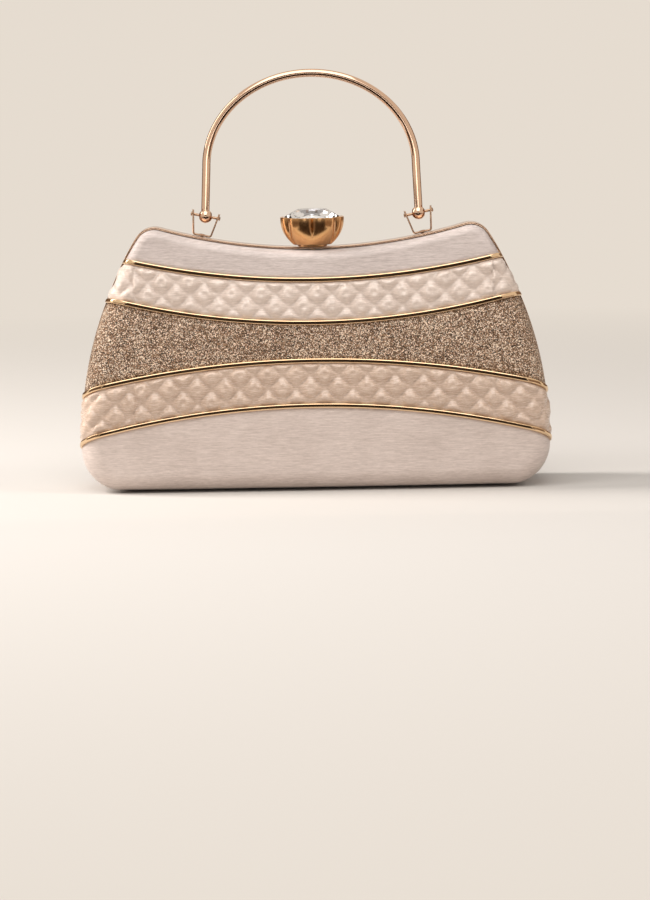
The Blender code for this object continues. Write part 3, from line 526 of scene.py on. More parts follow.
@dataclass(frozen=True)
class CardFinish:
    """Dark felt of the cards that only metal and glass see."""

    name: str
    colour: Colour = (0.035, 0.024, 0.017)

    def material(self) -> Material:
        """Make the material.

        Returns:
            The material.
        """
        graph = Graph(self.name)
        graph.set(Base_Color=self.colour, Roughness=1.0, Specular_IOR_Level=0.0)
        return graph.owner


@dataclass(frozen=True)
class Arc:
    """One round stretch of the outline, seen from the front."""

    centre: Point
    radius: float
    start: float
    end: float
    hollow: bool = False

    def at(self, share: float) -> tuple[Vector, Vector]:
        """Point and inward normal on the stretch.

        Args:
            share: Share of its length, from 0 to 1.

        Returns:
            Point and inward normal.
        """
        angle = self.start + (self.end - self.start) * share
        out = Vector((math.cos(angle), 0.0, math.sin(angle)))
        centre = Vector((self.centre[0], 0.0, self.centre[1]))
        return centre + out * self.radius, out if self.hollow else -out

    @property
    def length(self) -> float:
        """Length along the stretch."""
        return self.radius * abs(self.end - self.start)


@dataclass(frozen=True)
class Flat:
    """The straight stretch along the bottom."""

    length: float
    height: float

    def at(self, share: float) -> tuple[Vector, Vector]:
        """Point and inward normal at a share of the stretch."""
        return Vector((self.length * share, 0.0, self.height)), Vector((0.0, 0.0, 1.0))


@dataclass(frozen=True)
class CaseSizes:
    """Driving sizes of the case, in metres, as the solids have them."""

    seat_gap: float = 0.3 * MM
    part_gap: float = 0.15 * MM
    half_width: float = 105.0 * MM
    base_height: float = 1.2 * MM
    corner_radius: float = 18.0 * MM
    side_radius: float = 169.0 * MM
    side_rise: float = 2.0 * MM
    top_height: float = 105.5 * MM
    top_radius: float = 250.0 * MM
    hump_radius: float = 8.5 * MM
    depth_bottom: float = 26.0 * MM
    depth_top: float = 14.0 * MM
    depth_full_up_to: float = 26.0 * MM
    depth_thin_from: float = 116.0 * MM
    crown: float = 1.6 * MM
    taper_power: float = 1.5
    edge_side: float = 11.0 * MM
    edge_top: float = 4.0 * MM
    edge_bottom: float = 8.0 * MM
    change_low: float = 84.0 * MM
    change_high: float = 112.0 * MM
    frame_wall: float = 0.8 * MM
    frame_depth: float = 5.0 * MM
    flange_width: float = 6.0 * MM
    flange_thickness: float = 0.85 * MM
    inset_side: float = -0.35 * MM
    inset_top: float = -1.1 * MM
    inset_bottom: float = 0.2 * MM
    trim_width: float = 2.1 * MM
    trim_height: float = 1.2 * MM


@dataclass(frozen=True)
class TrimLine:
    """Middle line of one trim strip: height, rise at the half width, and drop on the walls."""

    height_share: float
    rise: float
    wrap_drop_share: float


TRIM_LINES = (
    TrimLine(0.8815, 15.2 * MM, 0.2),
    TrimLine(0.7024, 15.5 * MM, 0.2),
    TrimLine(0.5441, -12.5 * MM, 0.35),
    TrimLine(0.3555, -14.0 * MM, 0.35),
)


def inside(point: Vector, normal: Vector, inset: float, depth: float) -> Vector:
    """Point inside the outline, at a depth before the parting plane."""
    return Vector((point.x + normal.x * inset, -depth, point.z + normal.z * inset))


def smooth_step(value: float, low: float, high: float) -> float:
    """Smooth rise from 0 at low to 1 at high."""
    share = min(1.0, max(0.0, (value - low) / (high - low)))
    return share * share * (3 - 2 * share)


class CaseShape:
    """Surface of the front half: an arc-built outline, rounded walls and a crowned, tapering face."""

    HUMP = 3
    LINE_SPAN = (1.0, 4.0)
    HALVINGS = 26
    SETTLINGS = 4

    def __init__(self, sizes: CaseSizes) -> None:
        """Work out the outline.

        Args:
            sizes: Driving sizes of the case.
        """
        self.sizes = sizes
        self.outline = self._outline()

    def _outline(self) -> tuple[Flat | Arc, ...]:
        """Work out the right half of the outline.

        Returns:
            Its stretches, from the middle of the bottom to the middle of the top.
        """
        s = self.sizes
        corner = (s.half_width - s.corner_radius, s.base_height + s.corner_radius)
        reach = s.side_radius - s.corner_radius
        side = (corner[0] - math.sqrt(reach**2 - s.side_rise**2), corner[1] + s.side_rise)
        top = (0.0, s.base_height + s.top_height + s.top_radius)
        hump = self._meeting(side, s.side_radius - s.hump_radius, top, s.top_radius + s.hump_radius)
        low = math.atan2(corner[1] - side[1], corner[0] - side[0])
        high = math.atan2(hump[1] - side[1], hump[0] - side[0])
        turn = math.atan2(top[1] - hump[1], top[0] - hump[0])
        return (
            Flat(corner[0], s.base_height),
            Arc(corner, s.corner_radius, -math.pi / 2, low),
            Arc(side, s.side_radius, low, high),
            Arc(hump, s.hump_radius, high, turn),
            Arc(top, s.top_radius, turn - math.pi, -math.pi / 2, hollow=True),
        )

    @staticmethod
    def _meeting(centre_a: Point, radius_a: float, centre_b: Point, radius_b: float) -> Point:
        """Right-hand point at a distance from each of two centres.

        Args:
            centre_a: First centre.
            radius_a: Distance from it.
            centre_b: Second centre.
            radius_b: Distance from it.

        Returns:
            The point's X and Z.
        """
        between = Vector(centre_b) - Vector(centre_a)
        span = between.length
        along = (radius_a**2 - radius_b**2 + span**2) / (2 * span)
        across = math.sqrt(radius_a**2 - along**2)
        unit = between / span
        foot = Vector(centre_a) + unit * along
        return max(
            (foot.x + unit.y * across, foot.y - unit.x * across),
            (foot.x - unit.y * across, foot.y + unit.x * across),
        )

    def at(self, place: float) -> tuple[Vector, Vector]:
        """Point and inward normal at a place on the outline.

        Args:
            place: Number of the stretch plus the share of it, below zero on the left.

        Returns:
            Point and inward normal.
        """
        number = min(int(abs(place)), len(self.outline) - 1)
        point, normal = self.outline[number].at(abs(place) - number)
        if place < 0:
            point.x = -point.x
            normal.x = -normal.x
        return point, normal

    def stations(self, start: float, end: float, step: float) -> list[float]:
        """Places along the right half of the outline.

        Args:
            start: First place.
            end: Last place.
            step: Distance between places, at most.

        Returns:
            The places, with both ends.
        """
        places: list[float] = []
        for number, stretch in enumerate(self.outline):
            low = max(start, float(number))
            high = min(end, float(number + 1))
            if high <= low:
                continue
            count = max(2, math.ceil(stretch.length * (high - low) / step))
            places += [low + (high - low) * index / count for index in range(count)]
        return [*places, end]

    def round_places(self, step: float) -> list[float]:
        """Places once round the outline."""
        right = self.stations(0.0, float(len(self.outline)), step)
        return right + [-place for place in reversed(right[1:-1])]

    def depth(self, x: float, z: float) -> float:
        """Distance from the parting plane to the face.

        Args:
            x: Distance to the right.
            z: Height.

        Returns:
            The distance.
        """
        s = self.sizes
        share = (z - s.depth_full_up_to) / (s.depth_thin_from - s.depth_full_up_to)
        share = min(1.0, max(0.0, share))
        crown = s.crown * (x / s.half_width) ** 2
        return s.depth_bottom - (s.depth_bottom - s.depth_top) * share**s.taper_power - crown

    def _blend(self, point: Vector, normal: Vector, side: float, top: float, bottom: float) -> float:
        """Measure at a place on the outline, between those of its sides, top and bottom.

        Args:
            point: Point on the outline.
            normal: Inward normal there.
            side: Measure at the sides.
            top: Measure at the top.
            bottom: Measure at the bottom.

        Returns:
            The measure there.
        """
        s = self.sizes
        up = smooth_step(point.z, s.change_low, s.change_high)
        down = max(0.0, normal.z) ** 2 if point.z < s.change_low else 0.0
        return side + (top - side) * up + (bottom - side) * down

    def edge_radius(self, point: Vector, normal: Vector) -> float:
        """Radius of the rounding between wall and face."""
        s = self.sizes
        return self._blend(point, normal, s.edge_side, s.edge_top, s.edge_bottom)

    def frame_inset(self, point: Vector, normal: Vector) -> float:
        """Distance of the frame's outside inside the outline."""
        s = self.sizes
        return self._blend(point, normal, s.inset_side, s.inset_top, s.inset_bottom)

    def wall(self, place: float, level: float, under: float = 0.0) -> Vector:
        """Point on the fabric's wall and edge.

        Args:
            place: Place along the outline.
            level: 0 to 1 inside the frame, to 2 up the wall, to 3 round the edge.
            under: Distance under the fabric's outside.

        Returns:
            The point, on the front half.
        """
        s = self.sizes
        point, normal = self.at(place)
        radius = self.edge_radius(point, normal)
        rim = self.frame_inset(point, normal) + s.frame_wall + s.seat_gap
        start = s.part_gap + s.flange_thickness + s.seat_gap
        mouth = s.frame_depth + s.seat_gap
        inner = point + normal * radius
        shoulder = self.depth(inner.x, inner.z) - radius
        if level <= 1:
            inset = rim + under
            depth = start + (mouth - start) * level
        elif level <= 2:
            inset = rim * (2 - level) ** 2 + under
            depth = mouth + (shoulder - mouth) * (level - 1)
        else:
            turn = (level - 2) * math.pi / 2
            inset = radius - (radius - under) * math.cos(turn)
            depth = shoulder + (radius - under) * math.sin(turn)
        return inside(point, normal, inset, depth)

    def face(self, x: float, z: float, under: float = 0.0) -> Vector:
        """Point on the face, or at a depth under it."""
        return Vector((x, under - self.depth(x, z), z))

    def line_height(self, number: float, x: float, depth: float) -> float:
        """Height of a trim strip's middle line, or of a line between two strips.

        Args:
            number: Number of the strip from the top; a fraction lies between two strips.
            x: Distance to the right.
            depth: Distance in front of the parting plane.

        Returns:
            The height.
        """
        s = self.sizes
        low = min(int(number), len(TRIM_LINES) - 2)
        share = number - low
        heights = []
        for line in TRIM_LINES[low : low + 2]:
            height = s.base_height + s.top_height * line.height_share + line.rise * (x / s.half_width) ** 2
            heights.append(height - line.wrap_drop_share * (self.depth(x, height) - depth))
        return heights[0] + (heights[1] - heights[0]) * share

    def line_place(self, number: float, level: float) -> float:
        """Place on the outline where a line crosses one level of the wall.

        Args:
            number: Number of the strip, or a fraction between two.
            level: Level of the wall.

        Returns:
            The place.
        """
        low, high = self.LINE_SPAN
        for _ in range(self.HALVINGS):
            middle = (low + high) / 2
            point = self.wall(middle, level)
            if point.z < self.line_height(number, point.x, -point.y):
                low = middle
            else:
                high = middle
        return (low + high) / 2

    def line_on_face(self, number: float, x: float, z: float) -> float:
        """Height of a line on the face, settled from a first guess.

        Args:
            number: Number of the strip, or a fraction between two.
            x: Distance to the right.
            z: First guess.

        Returns:
            The height.
        """
        for _ in range(self.SETTLINGS):
            z = self.line_height(number, x, self.depth(x, z))
        return z

    def face_edge(self, number: float) -> float:
        """Distance to the right at which a line reaches the face."""
        return self.wall(self.line_place(number, FACE_LEVEL), FACE_LEVEL).x

    def line(
        self, number: float, levels: Sequence[float], columns: int, under: float = 0.0
    ) -> list[Vector]:
        """Points along a line, from the right end to the left end.

        Args:
            number: Number of the strip, or a fraction between two.
            levels: Levels of the wall, from the frame to the face.
            columns: Steps across the face.
            under: Distance under the fabric's outside.

        Returns:
            The points.
        """
        right = [self.wall(self.line_place(number, level), level, under) for level in levels]
        edge = self.face_edge(number)
        face = []
        for step in range(1, columns):
            x = edge * (1 - 2 * step / columns)
            face.append(self.face(x, self.line_on_face(number, x, self.sizes.top_height / 2), under))
        return right + face + [Vector((-p.x, p.y, p.z)) for p in reversed(right)]


def ellipse(wide: float, tall: float, turn: float, steps: int) -> list[Point]:
    """Corners round a part of an ellipse, from its right side on."""
    angles = [turn * step / steps for step in range(steps + 1)]
    return [(wide * math.cos(angle), tall * math.sin(angle)) for angle in angles]


def circle(radius: float, steps: int) -> list[Point]:
    """Corners once round a circle."""
    return ellipse(radius, radius, FULL_TURN, steps)[:-1]


def domed(radius: float, height: float, base: float, steps: int) -> list[Point]:
    """Profile of a domed head on a pin or rivet, up to its pole."""
    rise = ellipse(radius, height, math.pi / 2, steps)[:-1]
    return [(x, base + z) for x, z in rise] + [(0.0, base + height)]


def level_steps(start: float, count: int) -> list[float]:
    """Evenly spaced levels from a start to the face."""
    return [start + (FACE_LEVEL - start) * index / count for index in range(count + 1)]


def grid(columns: int, rows: int, place: Place, closed: bool = False) -> BMesh:
    """Grid whose corners are moved to their places.

    Args:
        columns: Faces along the first direction.
        rows: Faces along the second direction.
        place: Gives the place of corner (column, row).
        closed: Whether doubled corners are merged, as on a tube.

    Returns:
        The grid.
    """
    bm = bmesh.new()
    bmesh.ops.create_grid(bm, x_segments=columns, y_segments=rows, size=0.5)
    for vert in bm.verts:
        column = round((vert.co.x + 0.5) * columns)
        row = round((vert.co.y + 0.5) * rows)
        vert.co = place(column, row)
    if closed:
        bmesh.ops.remove_doubles(bm, verts=bm.verts, dist=WELD)
    bmesh.ops.dissolve_degenerate(bm, edges=bm.edges, dist=TINY)
    bm.normal_update()
    return bm


def thicken(bm: BMesh, thickness: float) -> None:
    """Give a sheet of cloth of the front half its thickness, on its inner side.

    Args:
        bm: Open sheet.
        thickness: Thickness of the cloth.
    """
    bmesh.ops.recalc_face_normals(bm, faces=bm.faces)
    if sum((face.normal.y * face.calc_area() for face in bm.faces), 0.0) > 0:
        bmesh.ops.reverse_faces(bm, faces=bm.faces)
    bm.normal_update()
    made = bmesh.ops.extrude_face_region(bm, geom=bm.faces[:])
    verts = [item for item in made["geom"] if isinstance(item, bmesh.types.BMVert)]
    bm.normal_update()
    for vert, normal in [(vert, vert.normal.copy()) for vert in verts]:
        vert.co -= normal * thickness
    turn_outwards(bm)


def close_ends(bm: BMesh) -> None:
    """Fill the open ends of a tube."""
    bmesh.ops.holes_fill(bm, edges=[edge for edge in bm.edges if edge.is_boundary], sides=0)


def turn_outwards(bm: BMesh) -> None:
    """Make the faces of a closed mesh point outwards.

    Args:
        bm: The closed mesh.
    """
    bmesh.ops.recalc_face_normals(bm, faces=bm.faces)
    if bm.calc_volume(signed=True) < 0:
        bmesh.ops.reverse_faces(bm, faces=bm.faces)


def sweep(route: Sequence[Vector], normals: Sequence[Vector], profile: Sequence[Point]) -> BMesh:
    """Closed profile carried along a route, with filled ends.

    Args:
        route: Points along the route.
        normals: Direction of the profile's second axis at each point.
        profile: Corners of the profile: across the route, and along the normal.

    Returns:
        The closed mesh.
    """
    frames = []
    for index, point in enumerate(route):
        before = route[max(0, index - 1)]
        after = route[min(len(route) - 1, index + 1)]
        tangent = (after - before).normalized()
        across = tangent.cross(normals[index]).normalized()
        frames.append((point, across, across.cross(tangent).normalized()))
    corners = len(profile)

    def place(column: int, row: int) -> Vector:
        """Corner of the profile at one point of the route.

        Args:
            column: Number of the point.
            row: Number of the corner.

        Returns:
            Its place.
        """
        point, across, up = frames[column]
        side, lift = profile[row % corners]
        return point + across * side + up * lift

    bm = grid(len(route) - 1, corners, place, closed=True)
    close_ends(bm)
    turn_outwards(bm)
    return bm


def ring_stack(rings: Sequence[Sequence[Vector]], looped: bool = False) -> BMesh:
    """Rings of as many corners joined one after the other.

    Args:
        rings: Rings, in order.
        looped: Whether the last ring joins the first.

    Returns:
        The closed mesh; open ends are filled.
    """
    count = len(rings[0])
    rows = len(rings) if looped else len(rings) - 1
    bm = grid(count, rows, lambda column, row: rings[row % len(rings)][column % count], closed=True)
    close_ends(bm)
    turn_outwards(bm)
    return bm


def spin_profile(profile: Sequence[Point], matrix: Matrix) -> BMesh:
    """Turned piece about its own Z.

    Args:
        profile: Radius and height of each corner, from the bottom to the top.
        matrix: Place of the piece.

    Returns:
        The closed mesh.
    """
    bm = bmesh.new()
    verts = [bm.verts.new((radius, 0.0, height)) for radius, height in profile]
    edges = [bm.edges.new(pair) for pair in zip(verts, verts[1:])]
    around = {"cent": (0, 0, 0), "axis": (0, 0, 1), "angle": FULL_TURN}
    bmesh.ops.spin(bm, geom=verts + edges, steps=ROUND_STEPS, use_merge=True, **around)
    bmesh.ops.remove_doubles(bm, verts=bm.verts, dist=WELD)
    close_ends(bm)
    turn_outwards(bm)
    bmesh.ops.transform(bm, matrix=matrix, verts=bm.verts)
    return bm


def post(radius: float, half: float, matrix: Matrix) -> BMesh:
    """Round post about a matrix's Z, half above and half below."""
    return spin_profile([(0.0, -half), (radius, -half), (radius, half), (0.0, half)], matrix)


def add_object(name: str, data: bpy.types.ID) -> bpy.types.Object:
    """New object in the scene.

    Args:
        name: Name of the object.
        data: Its mesh, light or camera.

    Returns:
        The object.
    """
    obj = bpy.data.objects.new(name, data)
    bpy.context.scene.collection.objects.link(obj)
    return obj


def as_mesh(name: str, bm: BMesh) -> bpy.types.Mesh:
    """New mesh with a bmesh's shape, which is freed.

    Args:
        name: Name of the mesh.
        bm: Finished shape.

    Returns:
        The mesh.
    """
    mesh = bpy.data.meshes.new(name)
    bm.to_mesh(mesh)
    bm.free()
    return mesh


def carved(bm: BMesh, tools: Iterable[BMesh]) -> BMesh:
    """Solid with other solids taken out of it.

    Args:
        bm: The solid.
        tools: What is taken out.

    Returns:
        What is left.
    """
    made = [add_object("carving", as_mesh("carving", source)) for source in (bm, *tools)]
    for tool in made[1:]:
        modifier = made[0].modifiers.new("carve", "BOOLEAN")
        modifier.operation = "DIFFERENCE"
        modifier.solver = "EXACT"
        modifier.object = tool
    result = bmesh.new()
    result.from_object(made[0], bpy.context.evaluated_depsgraph_get())
    bmesh.ops.triangulate(result, faces=[face for face in result.faces if len(face.verts) > 4])
    bmesh.ops.dissolve_degenerate(result, dist=WELD, edges=result.edges)
    for obj in made:
        mesh = obj.data
        bpy.data.objects.remove(obj)
        bpy.data.meshes.remove(mesh)
    return result


@dataclass(frozen=True)
class Piece:
    """What a finished mesh is called, what it is made of and what it moves with."""

    name: str
    material: Material
    slot: str
    body: str
    replaces: tuple[str, ...]
    sharp: float = SHARP_EDGE

    def finish(self, bm: BMesh) -> bpy.types.Object:
        """Make the object and hand it to the frame.

        Args:
            bm: Finished mesh, in place.

        Returns:
            The object.
        """
        mesh = as_mesh(self.name, bm)
        mesh.shade_smooth()
        if self.sharp < NO_SHARP_EDGE:
            mesh.set_sharp_from_angle(angle=math.radians(self.sharp))
        mesh.materials.append(self.material)
        obj = add_object(self.name, mesh)
        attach(obj, self.body)
        if self.replaces:
            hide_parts(*self.replaces)
        LOG.info("%s: %d faces on %s", self.name, len(mesh.polygons), self.body)
        return obj


def mirrored(bm: BMesh, side: Side) -> BMesh:
    """A front mesh as it is, or mirrored for the back half.

    Args:
        bm: Mesh of the front half.
        side: Half to make it for.

    Returns:
        The same mesh.
    """
    if side is Side.BACK:
        bmesh.ops.scale(bm, vec=(1.0, -1.0, 1.0), verts=bm.verts)
        bmesh.ops.reverse_faces(bm, faces=bm.faces)
    return bm


@dataclass(frozen=True)
class Quilting:
    """Puffed lozenges, in level rows that the bands cut."""

    pitch: float = 12.6 * MM
    row_spacing: float = 5.8 * MM
    puff: float = 3.3 * MM
    puff_power: float = 1.1
    dimple: float = 0.5
    shift_x: float = 0.0
    shift_z: float = 0.0
    crease: float = 0.42 * MM
    crease_long: float = 3.4 * MM
    crease_short: float = 1.5 * MM
    crease_short_share: float = 0.6
    crease_stretch: Colour = (1.5, 1.0, 0.8)
    crease_floor: float = 0.5
    dimple_power: int = 4

    def lift(self, x: float, z: float, point: Vector) -> float:
        """Height of the puffed surface over its stitch lines.

        Args:
            x: Distance to the right along the surface.
            z: Height.
            point: Place on the surface, for the creases.

        Returns:
            The height.
        """
        along = (x - self.shift_x) / self.pitch
        up = (z - self.shift_z) / (2 * self.row_spacing)
        first = abs(math.sin(math.pi * (along + up)))
        second = abs(math.sin(math.pi * (along - up)))
        pillow = (first * second) ** self.puff_power
        pillow -= self.dimple * pillow**self.dimple_power
        place = Vector([part * stretch for part, stretch in zip(point, self.crease_stretch)])
        wave = noise.noise(place * (1 / self.crease_long))
        wave += self.crease_short_share * noise.noise(place * (1 / self.crease_short))
        return self.puff * pillow + self.crease * wave * (self.crease_floor + pillow)


@dataclass(frozen=True)
class FabricBand:
    """One fabric band between two trim strips, or between one and an end of the case."""

    name: str
    slot: str
    look: str
    upper: int | None
    lower: int | None
    step: float
    quilting: Quilting | None = None


@dataclass(frozen=True)
class CaseHalf:
    """One half of the case: bands, trims, frame and lining over the shell, which keeps its solid."""

    side: Side
    shape: CaseShape
    looks: Looks
    skin: float = 0.7 * MM
    wall_start: float = 0.75
    wall_run: float = 30.0 * MM
    face_run: float = 32.0 * MM
    probes: int = 20
    least_rows: int = 6
    least_levels: int = 16
    end_blend: float = 0.06
    end_levels: int = 18
    tuck_width: float = 1.1 * MM
    tuck_depth: float = 0.55 * MM
    tuck_rise: float = 3.0 * MM
    tuck_span: Point = (0.5, 1.6)
    puff_span: Point = (0.7, 3.2)
    calm_span: Point = (0.5, 0.95)
    ripple: float = 0.06 * MM
    ripple_waves: Colour = (90.0, 90.0, 140.0)
    wrap_from: float = 80.0 * MM
    wrap_share: float = 0.6
    side_calm: float = 0.6
    trim_start: float = 1.12
    trim_levels: int = 26
    trim_columns: int = 90
    trim_root: float = 0.35 * MM
    trim_flank: float = 0.4 * MM
    trim_roundness: float = 0.66
    trim_sides: int = 24
    trim_probe: float = 1.0 * MM
    trim_sink: float = 0.6 * MM
    trim_sink_span: Point = (1.6, 2.6)
    meeting_gap: float = 0.03 * MM
    frame_round: float = 0.15 * MM
    flange_edge: float = 0.2 * MM
    frame_step: float = 1.6 * MM
    solid_skin: float = 0.8 * MM
    shell_wall: float = 1.6 * MM
    lining_wall: float = 0.5 * MM
    lining_step: float = 2.2 * MM
    lining_start: float = 0.25
    lining_levels: int = 14
    lining_shares: tuple[float, ...] = (0.9, 0.75, 0.55, 0.35, 0.15, 0.0)
    lining_sharp: float = 60.0
    hinge_place: Point = (63.0 * MM, 1.2 * MM)
    hinge_room: Point = (1.5 * MM, 8.75 * MM)
    stem_hole_reach: float = 1.2

    def build(self, bands: Iterable[FabricBand]) -> None:
        """Build every piece of this half.

        Args:
            bands: Fabric bands, from the top down.
        """
        for band in bands:
            self._build_band(band)
        for number in range(len(TRIM_LINES)):
            self._build_trim(number)
        self._build_frame()
        self._build_lining()

    def _piece(self, name: str, slot: str, look: str | None = None, sharp: float = SHARP_EDGE) -> Piece:
        """A piece of this half that stands for the node of its name."""
        node = f"{self.side.word}_{name}"
        return Piece(f"{node}_skin", self.looks[look or slot], slot, self.side.body, (node,), sharp)

    def _build_band(self, band: FabricBand) -> None:
        """Build one fabric band, with its thickness.

        Args:
            band: The band.
        """
        bm = self._end_band(band) if None in (band.upper, band.lower) else self._middle_band(band)
        self._lift(bm, band)
        thicken(bm, self.skin)
        self._piece(band.name, band.slot, band.look, NO_SHARP_EDGE).finish(mirrored(bm, self.side))

    def _middle_band(self, band: FabricBand) -> BMesh:
        """Sheet between two strips; its rows lie between the strips' lines.

        Args:
            band: A band with a strip above and one below.

        Returns:
            The open sheet.
        """
        shape = self.shape
        levels = (EDGE_START, FACE_LEVEL)
        top, bottom = (shape.line(number, levels, self.probes) for number in (band.upper, band.lower))
        middle = len(top) // 2
        rows = max(self.least_rows, round((top[middle] - bottom[middle]).length / band.step))
        columns = round(2 * shape.face_edge((band.upper + band.lower) / 2) / band.step)
        levels = level_steps(self.wall_start, max(self.least_levels, round(self.wall_run / band.step)))
        table = []
        for row in range(rows + 1):
            number = band.lower + (band.upper - band.lower) * row / rows
            table.append(shape.line(number, levels, columns))
        return grid(len(table[0]) - 1, rows, lambda column, row: table[row][column])

    def _end_band(self, band: FabricBand) -> BMesh:
        """Sheet between a strip and the top or the bottom; its columns fan out from the strip.

        Args:
            band: A band with one strip.

        Returns:
            The open sheet.
        """
        shape = self.shape
        at_top = band.upper is None
        line = band.lower if at_top else band.upper
        crossing = shape.line_place(line, EDGE_MIDDLE)
        end = float(len(shape.outline)) if at_top else 0.0
        right = shape.stations(min(crossing, end), max(crossing, end), band.step)
        if not at_top:
            right.reverse()
        places = right + [-place for place in reversed(right[:-1])]
        outline = [shape.at(place)[0] for place in places]
        lengths = [0.0]
        for before, after in zip(outline, outline[1:]):
            lengths.append(lengths[-1] + (after - before).length)
        levels = level_steps(self.wall_start, self.end_levels)
        crossings = [shape.line_place(line, level) for level in levels]
        face_rows = max(self.least_rows, round(self.face_run / band.step))
        edge = shape.face_edge(line)
        table = []
        for index, place in enumerate(places):
            share = lengths[index] / lengths[-1]
            nearness = max(0.0, 1 - min(share, 1 - share) / self.end_blend)
            column = []
            for level, own in zip(levels, crossings):
                shifted = abs(place) + (own - crossing) * nearness**2
                column.append(shape.wall(math.copysign(shifted, place if place else 1.0), level))
            start = column[-1]
            foot_x = edge * (1 - 2 * share)
            foot_z = shape.line_on_face(line, foot_x, start.z)
            for row in range(1, face_rows + 1):
                part = row / face_rows
                x = start.x + (foot_x - start.x) * part
                z = start.z + (foot_z - start.z) * part
                column.append(shape.face(x, z))
            table.append(column)
        return grid(len(table) - 1, len(table[0]) - 1, lambda column, row: table[column][row], closed=True)

    def _edge_distance(self, point: Vector, band: FabricBand) -> float:
        """Distance of a point from the nearest strip of its band."""
        numbers = [number for number in (band.upper, band.lower) if number is not None]
        return min(abs(point.z - self.shape.line_height(number, point.x, -point.y)) for number in numbers)

    def _lift(self, bm: BMesh, band: FabricBand) -> None:
        """Puff a band's surface, and tuck it under its strips and into the frame.

        Args:
            bm: Sheet of the band.
            band: The band.
        """
        s = self.shape.sizes
        width = self.tuck_width
        moves = []
        for vert in bm.verts:
            point = vert.co
            distance = self._edge_distance(point, band)
            tuck = 1 - smooth_step(distance, *(width * share for share in self.tuck_span))
            free = smooth_step(-point.y, s.frame_depth, s.frame_depth + self.tuck_rise)
            wave = noise.noise(Vector([part * waves for part, waves in zip(point, self.ripple_waves)]))
            lift = self.ripple * wave * free
            if band.quilting:
                wrap = s.depth_bottom + point.y if abs(point.x) > self.wrap_from else 0.0
                x = point.x + math.copysign(wrap * self.wrap_share, point.x)
                rise = smooth_step(distance, *(width * share for share in self.puff_span))
                lift += band.quilting.lift(x, point.z, point) * rise * free
            outward = self._outward(vert)
            calm = 1 - self.side_calm * smooth_step(abs(outward.x), *self.calm_span)
            moves.append((vert, outward * (lift * calm - self.tuck_depth * tuck * free)))
        for vert, move in moves:
            vert.co += move

    @staticmethod
    def _outward(vert: bmesh.types.BMVert) -> Vector:
        """Normal of a vertex, away from the parting plane and the middle."""
        away = Vector((vert.co.x, -BAG_CORE[0], vert.co.z - BAG_CORE[1]))
        return vert.normal if vert.normal.dot(away) > 0 else -vert.normal

    def _build_trim(self, number: int) -> None:
        """Build one half-round strip along its line.

        Args:
            number: Number of the strip from the top.
        """
        s = self.shape.sizes
        levels = level_steps(self.trim_start, self.trim_levels)
        route = self.shape.line(number, levels, self.trim_columns)
        inner = self.shape.line(number, levels, self.trim_columns, under=self.trim_probe)
        normals = [(point - below).normalized() for point, below in zip(route, inner)]
        for index, level in enumerate(levels):
            low = self.trim_sink * (1 - smooth_step(level, *self.trim_sink_span))
            for place in (index, len(route) - 1 - index):
                route[place] = route[place] - normals[place] * low
        half = s.trim_width / 2
        crown = s.trim_height - self.trim_flank
        profile = [(half, -self.trim_root)]
        for across, up in ellipse(1.0, 1.0, math.pi, self.trim_sides):
            side = math.copysign(abs(across) ** self.trim_roundness, across)
            profile.append((half * side, self.trim_flank + crown * up**self.trim_roundness))
        profile.append((-half, -self.trim_root))
        bm = sweep(route, normals, profile)
        self._piece(f"trim_{number + 1}", "trim").finish(mirrored(bm, self.side))

    def _build_frame(self) -> None:
        """Build the frame half: an outer wall with a rounded rim, and a flange."""
        s = self.shape.sizes
        rim, edge = self.frame_round, self.flange_edge
        inner = s.part_gap + s.flange_thickness
        profile = [(0.0, self.meeting_gap), (0.0, s.frame_depth - rim)]
        profile += [(rim - x, s.frame_depth - rim + z) for x, z in ellipse(rim, rim, math.pi / 2, 3)[1:]]
        profile += [
            (s.frame_wall - rim, s.frame_depth),
            (s.frame_wall, s.frame_depth - rim),
            (s.frame_wall, inner),
            (s.flange_width - edge, inner),
            (s.flange_width, inner - edge),
            (s.flange_width, s.part_gap + edge),
            (s.flange_width - edge, s.part_gap),
            (s.frame_wall, s.part_gap),
            (s.frame_wall - edge, self.meeting_gap),
        ]
        stations = [self.shape.at(place) for place in self.shape.round_places(self.frame_step)]
        rings = []
        for inset, depth in profile:
            offsets = [self.shape.frame_inset(*station) + inset for station in stations]
            rings.append([inside(*station, offset, depth) for station, offset in zip(stations, offsets)])
        bm = mirrored(ring_stack(rings, looped=True), self.side)
        self._piece("frame", "frame").finish(carved(bm, self._hinge_notches() + self._stem_hole()))

    def _build_lining(self) -> None:
        """Build the lining: smooth cloth over the inside of the shell."""
        s = self.shape.sizes
        under = self.solid_skin + s.seat_gap + self.shell_wall + s.seat_gap
        places = self.shape.round_places(self.lining_step)
        rings = []
        for level in level_steps(self.lining_start, self.lining_levels):
            rings.append([self.shape.wall(place, level, under) for place in places])
        middle = s.base_height + s.top_height / 2
        last = rings[-1]
        for share in self.lining_shares:
            ring = [(point.x * share, middle + (point.z - middle) * share) for point in last]
            rings.append([self.shape.face(x, z, under) for x, z in ring])
        count = len(places)
        bm = grid(count, len(rings) - 1, lambda column, row: rings[row][column % count], closed=True)
        thicken(bm, self.lining_wall)
        bm = mirrored(bm, self.side)
        tools = self._stem_hole()
        self._piece("lining", "lining", sharp=self.lining_sharp).finish(carved(bm, tools) if tools else bm)

